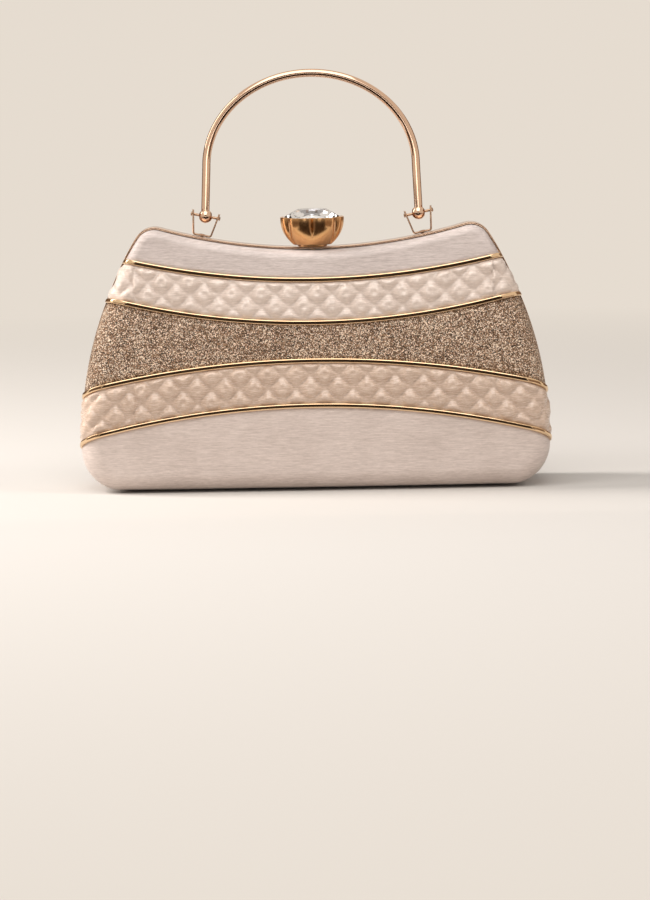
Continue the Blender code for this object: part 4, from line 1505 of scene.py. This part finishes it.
    def _hinge_notches(self) -> list[BMesh]:
        """Make the room in the frame for the knuckles of the two hinges.

        Returns:
            What is taken out of the frame.
        """
        notches = []
        for hand in Hand:
            centre = Vector((hand.value * self.hinge_place[0], 0.0, self.hinge_place[1]))
            matrix = Matrix.Translation(centre) @ Matrix.Rotation(math.pi / 2, 4, "Y")
            notches.append(post(*self.hinge_room, matrix))
        return notches

    def _stem_hole(self) -> list[BMesh]:
        """Make the hole for the clasp's bush, which only the front half has.

        Returns:
            What is taken out of frame and lining.
        """
        if self.side is not Side.FRONT:
            return []
        clasp = Clasp(self.shape, self.looks)
        matrix = Matrix.Translation((0.0, clasp.y, clasp.frame_top))
        radius = clasp.bush_radius + self.shape.sizes.seat_gap
        return [post(radius, clasp.bush_length * self.stem_hole_reach, matrix)]


@dataclass(frozen=True)
class Handle:
    """Arc handle: a round rod with a ball on each end, two clips, their pins and rivets."""

    shape: CaseShape
    looks: Looks
    draw_in: float = 0.84 * MM
    arch_height: float = 41.3 * MM
    leg: float = 22.0 * MM
    arch_steps: int = 72
    rod_radius: float = 1.85 * MM
    rod_sides: int = 28
    ball_radius: float = 3.1 * MM
    ball_sides: int = 40
    ball_steps: int = 24
    socket_depth: float = 1.0 * MM
    bore_radius: float = 1.35 * MM
    clip_from_hump: float = 21.24 * MM
    clip_base: float = 8.9 * MM
    clip_strip: float = 0.75 * MM
    clip_depth: float = 4.2 * MM
    pin_height: float = 9.0 * MM
    ear: float = 3.0 * MM
    ear_fullness: float = 0.93
    ear_roundness: float = 0.55
    ear_zone: float = 1.0 * MM
    splay: float = 9.5
    pin_radius: float = 0.6 * MM
    pin_head: float = 1.1 * MM
    pin_head_length: float = 0.6 * MM
    rivet_radius: float = 0.7 * MM
    rivet_head: float = 1.5 * MM
    rivet_height: float = 0.35 * MM
    bend: float = 0.9 * MM
    bend_steps: int = 5
    soft_edge: float = 0.18 * MM
    pin_head_sink: float = 0.25 * MM
    rivet_head_sink: float = 0.05 * MM
    tip: float = 0.6 * MM
    bore_rim: Point = (0.1 * MM, 0.2 * MM)

    def build(self) -> None:
        """Build the handle and what carries it."""
        pivot = self._clip_matrix(Hand.RIGHT) @ Vector((0.0, 0.0, self.pin_height))
        self._build_bow(pivot)
        for hand in Hand:
            self._build_ball(hand, Vector((hand.value * pivot.x, pivot.y, pivot.z)))
            matrix = self._clip_matrix(hand)
            self._build_clip(hand, matrix)
            self._build_pin(hand, matrix)
            self._build_rivet(hand, matrix)

    def _clip_matrix(self, hand: Hand) -> Matrix:
        """Place of a clip: its Z leads out of the case's top.

        Args:
            hand: Left or right.

        Returns:
            The place.
        """
        s = self.shape.sizes
        x = self.shape.outline[CaseShape.HUMP].centre[0] - self.clip_from_hump
        radius = s.top_radius + s.inset_top
        tilt = math.asin(x / radius)
        normal = Vector((-math.sin(tilt), 0.0, math.cos(tilt)))
        height = s.base_height + s.top_height + s.top_radius - radius * math.cos(tilt)
        seat = Vector((x, 0.0, height)) + normal * s.seat_gap
        seat.x *= hand.value
        seat.y = s.part_gap + s.frame_depth / 2
        return Matrix.Translation(seat) @ Matrix.Rotation(-hand.value * tilt, 4, "Y")

    def _piece(self, name: str, body: str, sharp: float = SHARP_EDGE) -> Piece:
        """A piece of the handle's finish that stands for the node of its name."""
        look = self.looks["handle" if body == "handle" else "clip"]
        return Piece(f"{name}_gold", look, "handle", body, (name,), sharp)

    def _build_bow(self, pivot: Vector) -> None:
        """Round rod along two nearly straight legs and half an ellipse.

        Args:
            pivot: Middle of the right ball.
        """
        half_span = pivot.x - self.draw_in
        foot = self.ball_radius - self.socket_depth + self.shape.sizes.seat_gap
        corners = [(pivot.x, foot), (pivot.x, self.ball_radius)]
        corners.append(((pivot.x + half_span) / 2, (self.ball_radius + self.leg) / 2))
        arch = ellipse(half_span, self.arch_height, math.pi, self.arch_steps)
        corners += [(x, self.leg + z) for x, z in arch]
        corners += [(-x, z) for x, z in corners[2::-1]]
        route = [Vector((x, pivot.y, pivot.z + z)) for x, z in corners]
        normals = [Vector((0.0, -1.0, 0.0))] * len(route)
        bm = sweep(route, normals, circle(self.rod_radius, self.rod_sides))
        self._piece("handle_bow", "handle", 60.0).finish(bm)

    def _build_ball(self, hand: Hand, centre: Vector) -> None:
        """Ball with its bore along X: a round profile spun about the bore.

        Args:
            hand: Left or right.
            centre: Middle of the ball.
        """
        edge = math.acos(self.bore_radius / self.ball_radius)
        angles = [edge * (2 * step / self.ball_steps - 1) for step in range(self.ball_steps + 1)]
        ball = self.ball_radius
        profile = [(ball * math.cos(angle), ball * math.sin(angle)) for angle in angles]
        narrow, deep = self.bore_rim
        profile.append((self.bore_radius - narrow, ball * math.sin(edge) - deep))
        profile.append((self.bore_radius - narrow, deep - ball * math.sin(edge)))
        rings = []
        for radius, height in profile:
            ring = circle(radius, self.ball_sides)
            rings.append([centre + Vector((height, across, up)) for across, up in ring])
        bm = ring_stack(rings, looped=True)
        self._piece(f"handle_ball_{hand.word}", "handle", 50.0).finish(bm)

    def _build_clip(self, hand: Hand, matrix: Matrix) -> None:
        """U-shaped clip bent from flat strip: a bent line, given its width and its thickness.

        Args:
            hand: Left or right.
            matrix: Place of the clip.
        """
        lean = math.tan(math.radians(self.splay))
        half = self.clip_base / 2 - self.clip_strip / 2
        top = self.pin_height + self.ear
        bend = self.bend
        line = [(0.0, self.clip_strip / 2), (half - bend, self.clip_strip / 2)]
        for step in range(1, self.bend_steps + 1):
            angle = math.radians(90 - self.splay) * step / self.bend_steps
            x = half - bend + bend * math.sin(angle)
            line.append((x, self.clip_strip / 2 + bend * (1 - math.cos(angle))))
        line.append((half + (top - self.tip) * lean, top - self.tip))
        line.append((half + top * lean, top))
        line = [(-x, z) for x, z in reversed(line[1:])] + line
        route = [matrix @ Vector((x, 0.0, z)) for x, z in line]
        normals = []
        for index, _ in enumerate(route):
            tangent = route[min(len(route) - 1, index + 1)] - route[max(0, index - 1)]
            normals.append(tangent.cross(Vector((0.0, 1.0, 0.0))).normalized())
        thick = self.clip_strip / 2
        wide = self.clip_depth / 2
        soft = self.soft_edge
        upper = [(wide, thick - soft), (wide - soft, thick), (soft - wide, thick), (-wide, thick - soft)]
        profile = upper + [(x, -z) for x, z in reversed(upper)]
        bm = sweep(route, normals, profile)
        self._round_ears(bm, matrix, top)
        self._piece(f"handle_clip_{hand.word}", "back_half").finish(bm)

    def _round_ears(self, bm: BMesh, matrix: Matrix, top: float) -> None:
        """Round the clip's two ends about its pin.

        Args:
            bm: The clip.
            matrix: Place of the clip.
            top: Height of its ends.
        """
        inverse = matrix.inverted()
        limit = self.clip_depth / 2
        for vert in bm.verts:
            local = inverse @ vert.co
            if local.z > top - self.ear_zone:
                bow = math.sqrt(max(0.0, 1 - (local.y / limit) ** 2 * self.ear_roundness))
                local.z = top - self.ear + self.ear * self.ear_fullness * bow
                vert.co = matrix @ local

    def _build_pin(self, hand: Hand, matrix: Matrix) -> None:
        """Pin through both ears, with a domed head outside each.

        Args:
            hand: Left or right.
            matrix: Place of the clip.
        """
        lean = math.tan(math.radians(self.splay))
        reach = self.clip_base / 2 + self.pin_height * lean
        shoulder = reach + self.pin_head * lean + self.shape.sizes.seat_gap - self.pin_head_sink
        head = domed(self.pin_head, self.pin_head_length, shoulder, 5)
        half = [(self.pin_radius, 0.0), (self.pin_radius, shoulder), *head]
        profile = [(radius, -height) for radius, height in reversed(half[1:])] + half[1:]
        place = matrix @ Matrix.Translation((0, 0, self.pin_height)) @ Matrix.Rotation(math.pi / 2, 4, "Y")
        self._piece(f"handle_pin_{hand.word}", "back_half").finish(spin_profile(profile, place))

    def _build_rivet(self, hand: Hand, matrix: Matrix) -> None:
        """Rivet with a domed head that holds the clip down.

        Args:
            hand: Left or right.
            matrix: Place of the clip.
        """
        s = self.shape.sizes
        seat = self.clip_strip - self.rivet_head_sink
        foot = -s.seat_gap - s.frame_wall
        profile = [(0.0, foot), (self.rivet_radius, foot), (self.rivet_radius, seat)]
        profile += domed(self.rivet_head, self.rivet_height, seat, 6)
        self._piece(f"clip_rivet_{hand.word}", "back_half").finish(spin_profile(profile, matrix))


@dataclass(frozen=True)
class Clasp:
    """Push clasp: a six-lobed cup with a foiled cut stone, on a collar."""

    shape: CaseShape
    looks: Looks
    y: float = -2.9 * MM
    lobes: int = 6
    lobe_steps: int = 30
    cup_steps: int = 24
    rim_radius: float = 14.3 * MM
    height: float = 12.2 * MM
    foot_radius: float = 8.6 * MM
    groove_share: float = 0.13
    groove_power: float = 1.5
    groove_rise: float = 1.5
    notch_share: float = 0.2
    notch_power: int = 10
    curve_power: float = 2.5
    clearance: float = 1.2 * MM
    recess_radius: float = 7.2 * MM
    recess_height: float = 3.8 * MM
    floor: float = 1.0 * MM
    bowl_floor: float = 5.4 * MM
    stem_bore: float = 1.0 * MM
    girdle_radius: float = 12.9 * MM
    girdle_height: float = 0.6 * MM
    crown_height: float = 3.6 * MM
    pavilion_depth: float = 5.2 * MM
    collar_radius: float = 6.6 * MM
    collar_height: float = 1.5 * MM
    collar_sides: int = 48
    bush_radius: float = 1.5 * MM
    bush_length: float = 6.4 * MM
    coil_radius: float = 2.4 * MM
    coil_wire: float = 0.25 * MM
    coil_turns: int = 3
    wire_sides: int = 8
    coil_low: float = 109.93 * MM
    coil_high: float = 112.48 * MM
    press: float = 0.9 * MM
    bowl_gap: float = 0.25 * MM
    bowl_slope: float = 0.3 * MM
    foil_growth: float = 1.004
    facet_angle: float = 1.5
    rim_rise: float = 0.15 * MM
    rim_roll: float = 0.35 * MM
    collar_edge: float = 0.25 * MM

    @property
    def frame_top(self) -> float:
        """Height of the frame's outside in the middle of the top."""
        s = self.shape.sizes
        return s.base_height + s.top_height - s.inset_top

    @property
    def foot(self) -> float:
        """Height of the cup's underside."""
        return self.frame_top + self.clearance

    def build(self) -> None:
        """Build the cup, the stone, the collar and the spring."""
        self._build_cup()
        self._build_stone()
        self._build_collar()
        self._build_spring()

    def _outer_radius(self, share: float) -> float:
        """Radius of the cup's outside at a share of its height."""
        spread = 1 - (1 - share) ** self.curve_power
        return self.foot_radius + (self.rim_radius - self.foot_radius) * spread

    def _ring(self, radius: float, height: float, groove: float) -> list[Vector]:
        """Lobed ring round the clasp's axis.

        Args:
            radius: Radius over the lobes.
            height: Height over the cup's foot.
            groove: Depth of the grooves as a share of the radius.

        Returns:
            The ring's corners, from the front.
        """
        sides = self.lobes * self.lobe_steps
        ring = []
        for side in range(sides):
            turn = FULL_TURN * side / sides
            valley = 1 - abs(math.sin(self.lobes * turn / 2))
            dent = valley**self.groove_power + self.notch_share * valley**self.notch_power
            reach = radius * (1 - groove * dent)
            x, y = reach * math.sin(turn), self.y - reach * math.cos(turn)
            ring.append(Vector((x, y, self.foot + height)))
        return ring

    def _build_cup(self) -> None:
        """Bowl pressed into lobes, with a rolled rim and a recess underneath."""
        full = self.groove_share
        outside = []
        for step in range(self.cup_steps + 1):
            share = step / self.cup_steps
            groove = full * min(1.0, share * self.groove_rise)
            outside.append((self._outer_radius(share), self.height * share, groove))
        floor = self.recess_height + self.floor
        seat = self.height - self.girdle_height - self.bowl_slope
        inner = self.girdle_radius + self.bowl_gap
        bowl = [
            (self.rim_radius - self.rim_roll, self.height + self.rim_rise, full),
            (inner, self.height, full),
            (inner - self.bowl_slope, seat, full),
            (self.bowl_floor, floor, 0.0),
            (self.stem_bore, floor, 0.0),
            (self.stem_bore, self.recess_height, 0.0),
            (self.recess_radius, self.recess_height, 0.0),
            (self.recess_radius, 0.0, 0.0),
        ]
        bm = ring_stack([self._ring(*ring) for ring in outside + bowl], looped=True)
        piece = Piece("clasp_cup_gold", self.looks["cup"], "cup", "clasp_button", ("clasp_cup",), 48.0)
        piece.finish(bm)

    def _build_stone(self) -> None:
        """Cut stone with a corner in each lobe, and the silver foil under its lower facets."""
        blunt = 1 - self.groove_share
        crown = self.crown_height
        low = -self.girdle_height
        girdle = [(1.0, 0.0, 0.5), (blunt, 0.0, 0.0), (1.0, low, 0.5), (blunt, low, 0.0)]
        pavilion = [(0.66, low - self.pavilion_depth * 0.5, 0.0), (0.3, low - self.pavilion_depth, 0.5)]
        table = [(0.5, crown, 0.5), (0.46, crown, 0.0), (0.78, crown * 0.55, 0.0), (0.8, crown * 0.42, 0.5)]
        stone = self._hull(table + girdle + pavilion, 1.0)
        foil = self._hull(girdle[2:] + pavilion, self.foil_growth)
        lids = [face for face in foil.faces if face.normal.z > 0.9]
        bmesh.ops.delete(foil, geom=lids, context="FACES")
        cut = ("crystal", "clasp_button")
        Piece("clasp_stone", self.looks["crystal"], *cut, ("clasp_crystal",), 1.0).finish(stone)
        Piece("clasp_foil", self.looks["foil"], *cut, (), 1.0).finish(foil)

    def _hull(self, corners: Iterable[tuple[float, float, float]], growth: float) -> BMesh:
        """Hull of rings of corners, one in each lobe.

        Args:
            corners: Share of the girdle's radius, height over the girdle, and turn in lobes.
            growth: Factor on the radius.

        Returns:
            The closed mesh.
        """
        base = self.foot + self.height
        bm = bmesh.new()
        for share, height, shift in corners:
            radius = self.girdle_radius * share * growth
            for lobe in range(self.lobes):
                turn = FULL_TURN * (lobe + shift) / self.lobes
                bm.verts.new((radius * math.sin(turn), self.y - radius * math.cos(turn), base + height))
        hull = bmesh.ops.convex_hull(bm, input=bm.verts)
        spare = hull["geom_interior"] + hull["geom_unused"]
        loose = {item for item in spare if isinstance(item, bmesh.types.BMVert)}
        bmesh.ops.delete(bm, geom=list(loose), context="VERTS")
        limit = math.radians(self.facet_angle)
        bmesh.ops.dissolve_limit(bm, angle_limit=limit, verts=bm.verts, edges=bm.edges)
        turn_outwards(bm)
        return bm

    def _build_collar(self) -> None:
        """Collar under the cup, with the bush that guides the stem."""
        seat = self.frame_top + self.shape.sizes.seat_gap
        edge = self.collar_edge
        profile = [
            (self.stem_bore, -self.bush_length),
            (self.bush_radius, -self.bush_length),
            (self.bush_radius, 0.0),
            (self.collar_radius - edge, 0.0),
            (self.collar_radius, edge),
            (self.collar_radius, self.collar_height - edge),
            (self.collar_radius - edge, self.collar_height),
            (self.stem_bore, self.collar_height),
        ]
        rings = []
        for radius, height in profile:
            ring = circle(radius, self.collar_sides)
            rings.append([Vector((x, self.y + y, seat + height)) for x, y in ring])
        bm = ring_stack(rings, looped=True)
        Piece("clasp_collar_gold", self.looks["cup"], "cup", "front_half", ("clasp_collar",)).finish(bm)

    def _build_spring(self) -> None:
        """Return spring between the collar and the cup; it rides with the cup."""
        length = self.coil_high - self.coil_low
        steps = ROUND_STEPS * self.coil_turns
        low = self.coil_low + self.coil_wire
        rise = length - 2 * self.coil_wire
        route = []
        turns = ellipse(self.coil_radius, self.coil_radius, FULL_TURN * self.coil_turns, steps)
        for step, (x, y) in enumerate(turns):
            route.append(Vector((x, self.y + y, low + rise * step / steps)))
        bm = sweep(route, [Vector((0, 0, 1))] * len(route), circle(self.coil_wire, self.wire_sides))
        piece = Piece("clasp_coil", self.looks["steel"], "steel", "clasp_button", ("clasp_spring",), 60.0)
        top = (0.0, self.y, self.coil_high)
        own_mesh(piece.finish(bm), "clasp_press", axis=(0, 0, 1), anchor=top, keep=1 - self.press / length)


@dataclass(frozen=True)
class Hardware:
    """Solids that keep their own shape and get a finish."""

    frame: dict[str, object]
    looks: Looks

    def dress(self) -> None:
        """Give each kept node its finish by its material slot."""
        for part in self.frame["record"]["subparts"]:
            node = self.frame["nodes"][part["node"]]
            if node.hide_render:
                continue
            look = self.looks[part["material_slot"]]
            if not node.data.materials:
                node.data.materials.append(look)
            for index, _ in enumerate(node.data.materials):
                node.data.materials[index] = look
            LOG.info("%s keeps its solid, as %s", part["node"], part["material_slot"])


def sheet_mesh(name: str, width: float, height: float, material: Material) -> bpy.types.Mesh:
    """Flat rectangle about the origin.

    Args:
        name: Name of the mesh.
        width: Size along X.
        height: Size along Y.
        material: Its material.

    Returns:
        The mesh.
    """
    bm = bmesh.new()
    bmesh.ops.create_grid(bm, x_segments=1, y_segments=1, size=0.5)
    bmesh.ops.scale(bm, vec=(width, height, 1.0), verts=bm.verts)
    mesh = as_mesh(name, bm)
    mesh.materials.append(material)
    return mesh


def hide_from_all_but_gloss(obj: bpy.types.Object) -> None:
    """Let only reflections see a card.

    Args:
        obj: The card.
    """
    for ray in ("camera", "diffuse", "transmission", "shadow"):
        setattr(obj, f"visible_{ray}", False)


@dataclass(frozen=True)
class SoftBox:
    """One soft light, or a dark card, turned towards the bag."""

    name: str
    azimuth_deg: float
    elevation_deg: float
    distance: float
    width: float
    height: float
    watts: float = 0.0
    glossy: bool = True
    colour: Colour = (1.0, 0.98, 0.96)

    @property
    def place(self) -> Vector:
        """Where it stands; azimuth 0 is the camera's side, and positive lies to the right.

        Returns:
            The place.
        """
        turn, rise = math.radians(self.azimuth_deg), math.radians(self.elevation_deg)
        level = self.distance * math.cos(rise)
        height = BAG_MIDDLE + self.distance * math.sin(rise)
        return Vector((level * math.sin(turn), -level * math.cos(turn), height))

    def _put(self, data: bpy.types.ID) -> bpy.types.Object:
        """Stand an object there, facing the bag.

        Args:
            data: Its light or mesh.

        Returns:
            The object.
        """
        obj = add_object(self.name, data)
        obj.location = self.place
        towards = Vector((0.0, 0.0, BAG_MIDDLE)) - self.place
        obj.rotation_euler = towards.to_track_quat("-Z", "Y").to_euler()
        return obj

    def light(self) -> None:
        """Make a light of it."""
        data = bpy.data.lights.new(self.name, "AREA")
        data.shape = "RECTANGLE"
        data.size = self.width
        data.size_y = self.height
        data.energy = self.watts
        data.color = self.colour
        lamp = self._put(data)
        lamp.visible_glossy = self.glossy
        lamp.visible_transmission = self.glossy

    def card(self, material: Material) -> None:
        """Make a dark card of it, which only metal and glass see."""
        hide_from_all_but_gloss(self._put(sheet_mesh(self.name, self.width, self.height, material)))


LIGHTS = (
    SoftBox("overhead", -8.0, 64.0, 1.3, 1.1, 1.3, 8.8),
    SoftBox("front_key", 0.0, 29.0, 2.0, 1.3, 0.8, 3.7),
    SoftBox("front_fill", 0.0, 10.0, 2.0, 1.7, 0.75, 3.4, glossy=False),
    SoftBox("leg_glint", 0.0, 1.0, 0.96, 0.42, 0.07, 0.22),
    SoftBox("left_upper", -55.0, 38.0, 1.6, 0.6, 0.7, 7.5, glossy=False),
    SoftBox("left_side", -98.0, 32.0, 1.3, 0.3, 0.9, 20.0, glossy=False),
    SoftBox("left_gloss", -98.0, 32.0, 1.31, 0.3, 0.9, 3.5),
    SoftBox("right_fill", 66.0, 34.0, 1.7, 0.4, 0.9, 8.5, glossy=False),
)
CARDS = (
    SoftBox("near_front", 0.0, -7.2, 0.2, 0.36, 0.108),
    SoftBox("far_front", 0.0, 15.0, 1.0, 0.6, 0.41),
    SoftBox("near_left", -64.0, -6.0, 0.3, 0.24, 0.1),
    SoftBox("near_right", 64.0, -6.0, 0.3, 0.24, 0.1),
    SoftBox("back_left", -132.0, 4.0, 1.0, 1.0, 0.9),
    SoftBox("back_right", 132.0, 4.0, 1.0, 1.0, 0.9),
)


@dataclass(frozen=True)
class Studio:
    """Pale floor, soft lights, dark cards and the camera."""

    backdrop: Colour = (0.79, 0.716, 0.631)
    floor: Colour = (0.555, 0.52, 0.484)
    ambient: float = 0.3
    aim: tuple[float, float, float] = (4.0 * MM, -20.0 * MM, 18.0 * MM)
    elevation_deg: float = 7.3
    roll_deg: float = 1.0
    distance: float = 1.6
    pixels_per_metre: float = 2238.0
    image_height: int = 900
    sensor: float = 36.0
    ledge: float = 0.1
    floor_card_width: float = 0.38
    floor_card_length: float = 1.6
    floor_side: float = 24.0

    def build(self) -> None:
        """Set the floor, the world, the lights and the camera."""
        self._floor()
        self._world()
        for box in LIGHTS:
            box.light()
        felt = CardFinish("card_felt").material()
        cork = CardFinish("card_cork", (0.16, 0.11, 0.08)).material()
        for box in CARDS:
            box.card(felt if box.name.endswith("front") else cork)
        self._floor_card(felt)
        self._camera()
        bpy.context.scene.view_settings.view_transform = "Standard"

    def _floor(self) -> None:
        """Large floor under the bag."""
        look = FloorFinish("floor_matt", self.floor, self.backdrop).material()
        add_object("floor", sheet_mesh("floor", self.floor_side, self.floor_side, look))

    def _floor_card(self, felt: Material) -> None:
        """Dark card low in front, as if the bag stood near the edge of a ledge.

        Args:
            felt: Material of the card.
        """
        mesh = sheet_mesh("card_on_floor", self.floor_card_width, self.floor_card_length, felt)
        obj = add_object("card_on_floor", mesh)
        obj.location = (0.0, -self.ledge - self.floor_card_length / 2, 1.0 * MM)
        hide_from_all_but_gloss(obj)

    def _world(self) -> None:
        """World that lights softly, and is pale where the camera, metal or glass sees it."""
        graph = Graph("studio", world=True)
        bpy.context.scene.world = graph.owner
        graph.set(Color=(1.0, 0.985, 0.965), Strength=self.ambient)
        rays = graph.node("ShaderNodeLightPath", {}, {}).outputs
        seen = Value(graph, rays["Is Camera Ray"])
        for ray in ("Is Transmission Ray", "Is Glossy Ray"):
            seen = seen.or_more(rays[ray])
        shown = graph.node("ShaderNodeBackground", {}, {"Color": self.backdrop, "Strength": 1.0})
        graph.blend(seen, shown)

    def _camera(self) -> None:
        """Long lens at the photograph's angle, with its slight roll."""
        data = bpy.data.cameras.new("camera")
        data.sensor_width = self.sensor
        data.lens = self.pixels_per_metre * self.distance * self.sensor / self.image_height
        obj = add_object("camera", data)
        turn = math.radians(self.elevation_deg)
        back = Vector((0.0, -math.cos(turn), math.sin(turn)))
        obj.location = Vector(self.aim) + back * self.distance
        level = (-back).to_track_quat("-Z", "Y").to_matrix().to_4x4()
        roll = Matrix.Rotation(math.radians(-self.roll_deg), 4, "Z")
        obj.rotation_euler = (level @ roll).to_euler()
        data.clip_start = 0.01
        data.clip_end = 50.0
        bpy.context.scene.camera = obj


def make_looks() -> Looks:
    """Materials by the record's slots.

    Returns:
        Each look by its slot; clip and foil are further looks. satin_top is a copy of satin,
        darker as painted shade, and quilt_upper a copy of quilt, lighter as painted light.
    """
    fine = 0.025 * MM
    finishes = {
        "satin": SatinFinish("champagne_satin", (0.65, 0.545, 0.488), (0.45, 0.362, 0.316)),
        # the same satin made darker for the upward-tilted top band: painted shade against the overhead
        # light
        "satin_top": SatinFinish("champagne_satin_top", (0.595, 0.51, 0.475), (0.385, 0.32, 0.29)),
        # the two quilted bands are one fabric: this lower copy is darker as painted shade
        "quilt": SatinFinish(
            "quilted_satin", (0.60, 0.455, 0.36), (0.44, 0.315, 0.235), 0.26, 0.08, fine, 7.0, 0.9
        ),
        # lighter copy of the quilted satin for the upper band: painted light
        "quilt_upper": SatinFinish(
            "quilted_satin_upper", (0.70, 0.58, 0.505), (0.51, 0.41, 0.345), 0.24, 0.1, fine, 9.0, 0.9
        ),
        "glitter": GlitterFinish("taupe_glitter"),
        "shell": BoardFinish("moulded_board"),
        "lining": SatinFinish("lining_satin", (0.56, 0.44, 0.375), (0.47, 0.36, 0.30), 0.5, 0.2, 0.02 * MM),
        "frame": PlatedFinish("rose_gold_frame", (0.74, 0.52, 0.38), (0.65, 0.44, 0.31), 0.16),
        "trim": PlatedFinish("yellow_gold_trim", (0.88, 0.65, 0.42), (0.80, 0.55, 0.32), 0.08),
        "handle": PlatedFinish(
            "rose_gold_handle", (0.79, 0.55, 0.40), (0.71, 0.48, 0.34), 0.08, 0.04, 0.0006 * MM
        ),
        "clip": PlatedFinish("brown_gold_clip", (0.50, 0.33, 0.22), (0.40, 0.26, 0.17), 0.2),
        "cup": PlatedFinish("bronze_gold_cup", (0.80, 0.47, 0.22), (0.70, 0.38, 0.16), 0.2),
        "crystal": CrystalFinish("cut_crystal"),
        "foil": PlatedFinish("silver_foil", (0.42, 0.42, 0.44), (0.35, 0.35, 0.37), 0.03, 0.02),
        "steel": SteelFinish("plain_steel"),
        "hinge": PlatedFinish("dark_hinge_brass", (0.30, 0.20, 0.12), (0.22, 0.15, 0.09), 0.3),
    }
    return {slot: finish.material() for slot, finish in finishes.items()}


def band_list() -> tuple[FabricBand, ...]:
    """The five bands of a face, from the top down.

    Returns:
        The bands.
    """
    coarse = 1.0
    upper_quilt = Quilting(shift_x=2.0 * MM, shift_z=1.0 * MM)
    lower_quilt = Quilting(shift_x=4.5 * MM, shift_z=0.0)
    return (
        # the top band takes the satin copy with painted shade
        FabricBand("satin_top", "satin", "satin_top", None, 0, 1.6 * MM * coarse),
        # the upper quilted band takes the copy with painted light
        FabricBand("quilt_upper", "quilt", "quilt_upper", 0, 1, 0.62 * MM * coarse, upper_quilt),
        FabricBand("glitter_band", "glitter", "glitter", 1, 2, 1.5 * MM * coarse),
        FabricBand("quilt_lower", "quilt", "quilt", 2, 3, 0.62 * MM * coarse, lower_quilt),
        FabricBand("satin_bottom", "satin", "satin", 3, None, 1.6 * MM * coarse),
    )


def main() -> None:
    """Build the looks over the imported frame."""
    logging.basicConfig(level=logging.INFO, format="%(name)s %(message)s")
    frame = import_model()
    looks = make_looks()
    shape = CaseShape(CaseSizes())
    for side in Side:
        CaseHalf(side, shape, looks).build(band_list())
    Handle(shape, looks).build()
    Clasp(shape, looks).build()
    Hardware(frame, looks).dress()
    Studio().build()


if __name__ == "__main__":
    main()
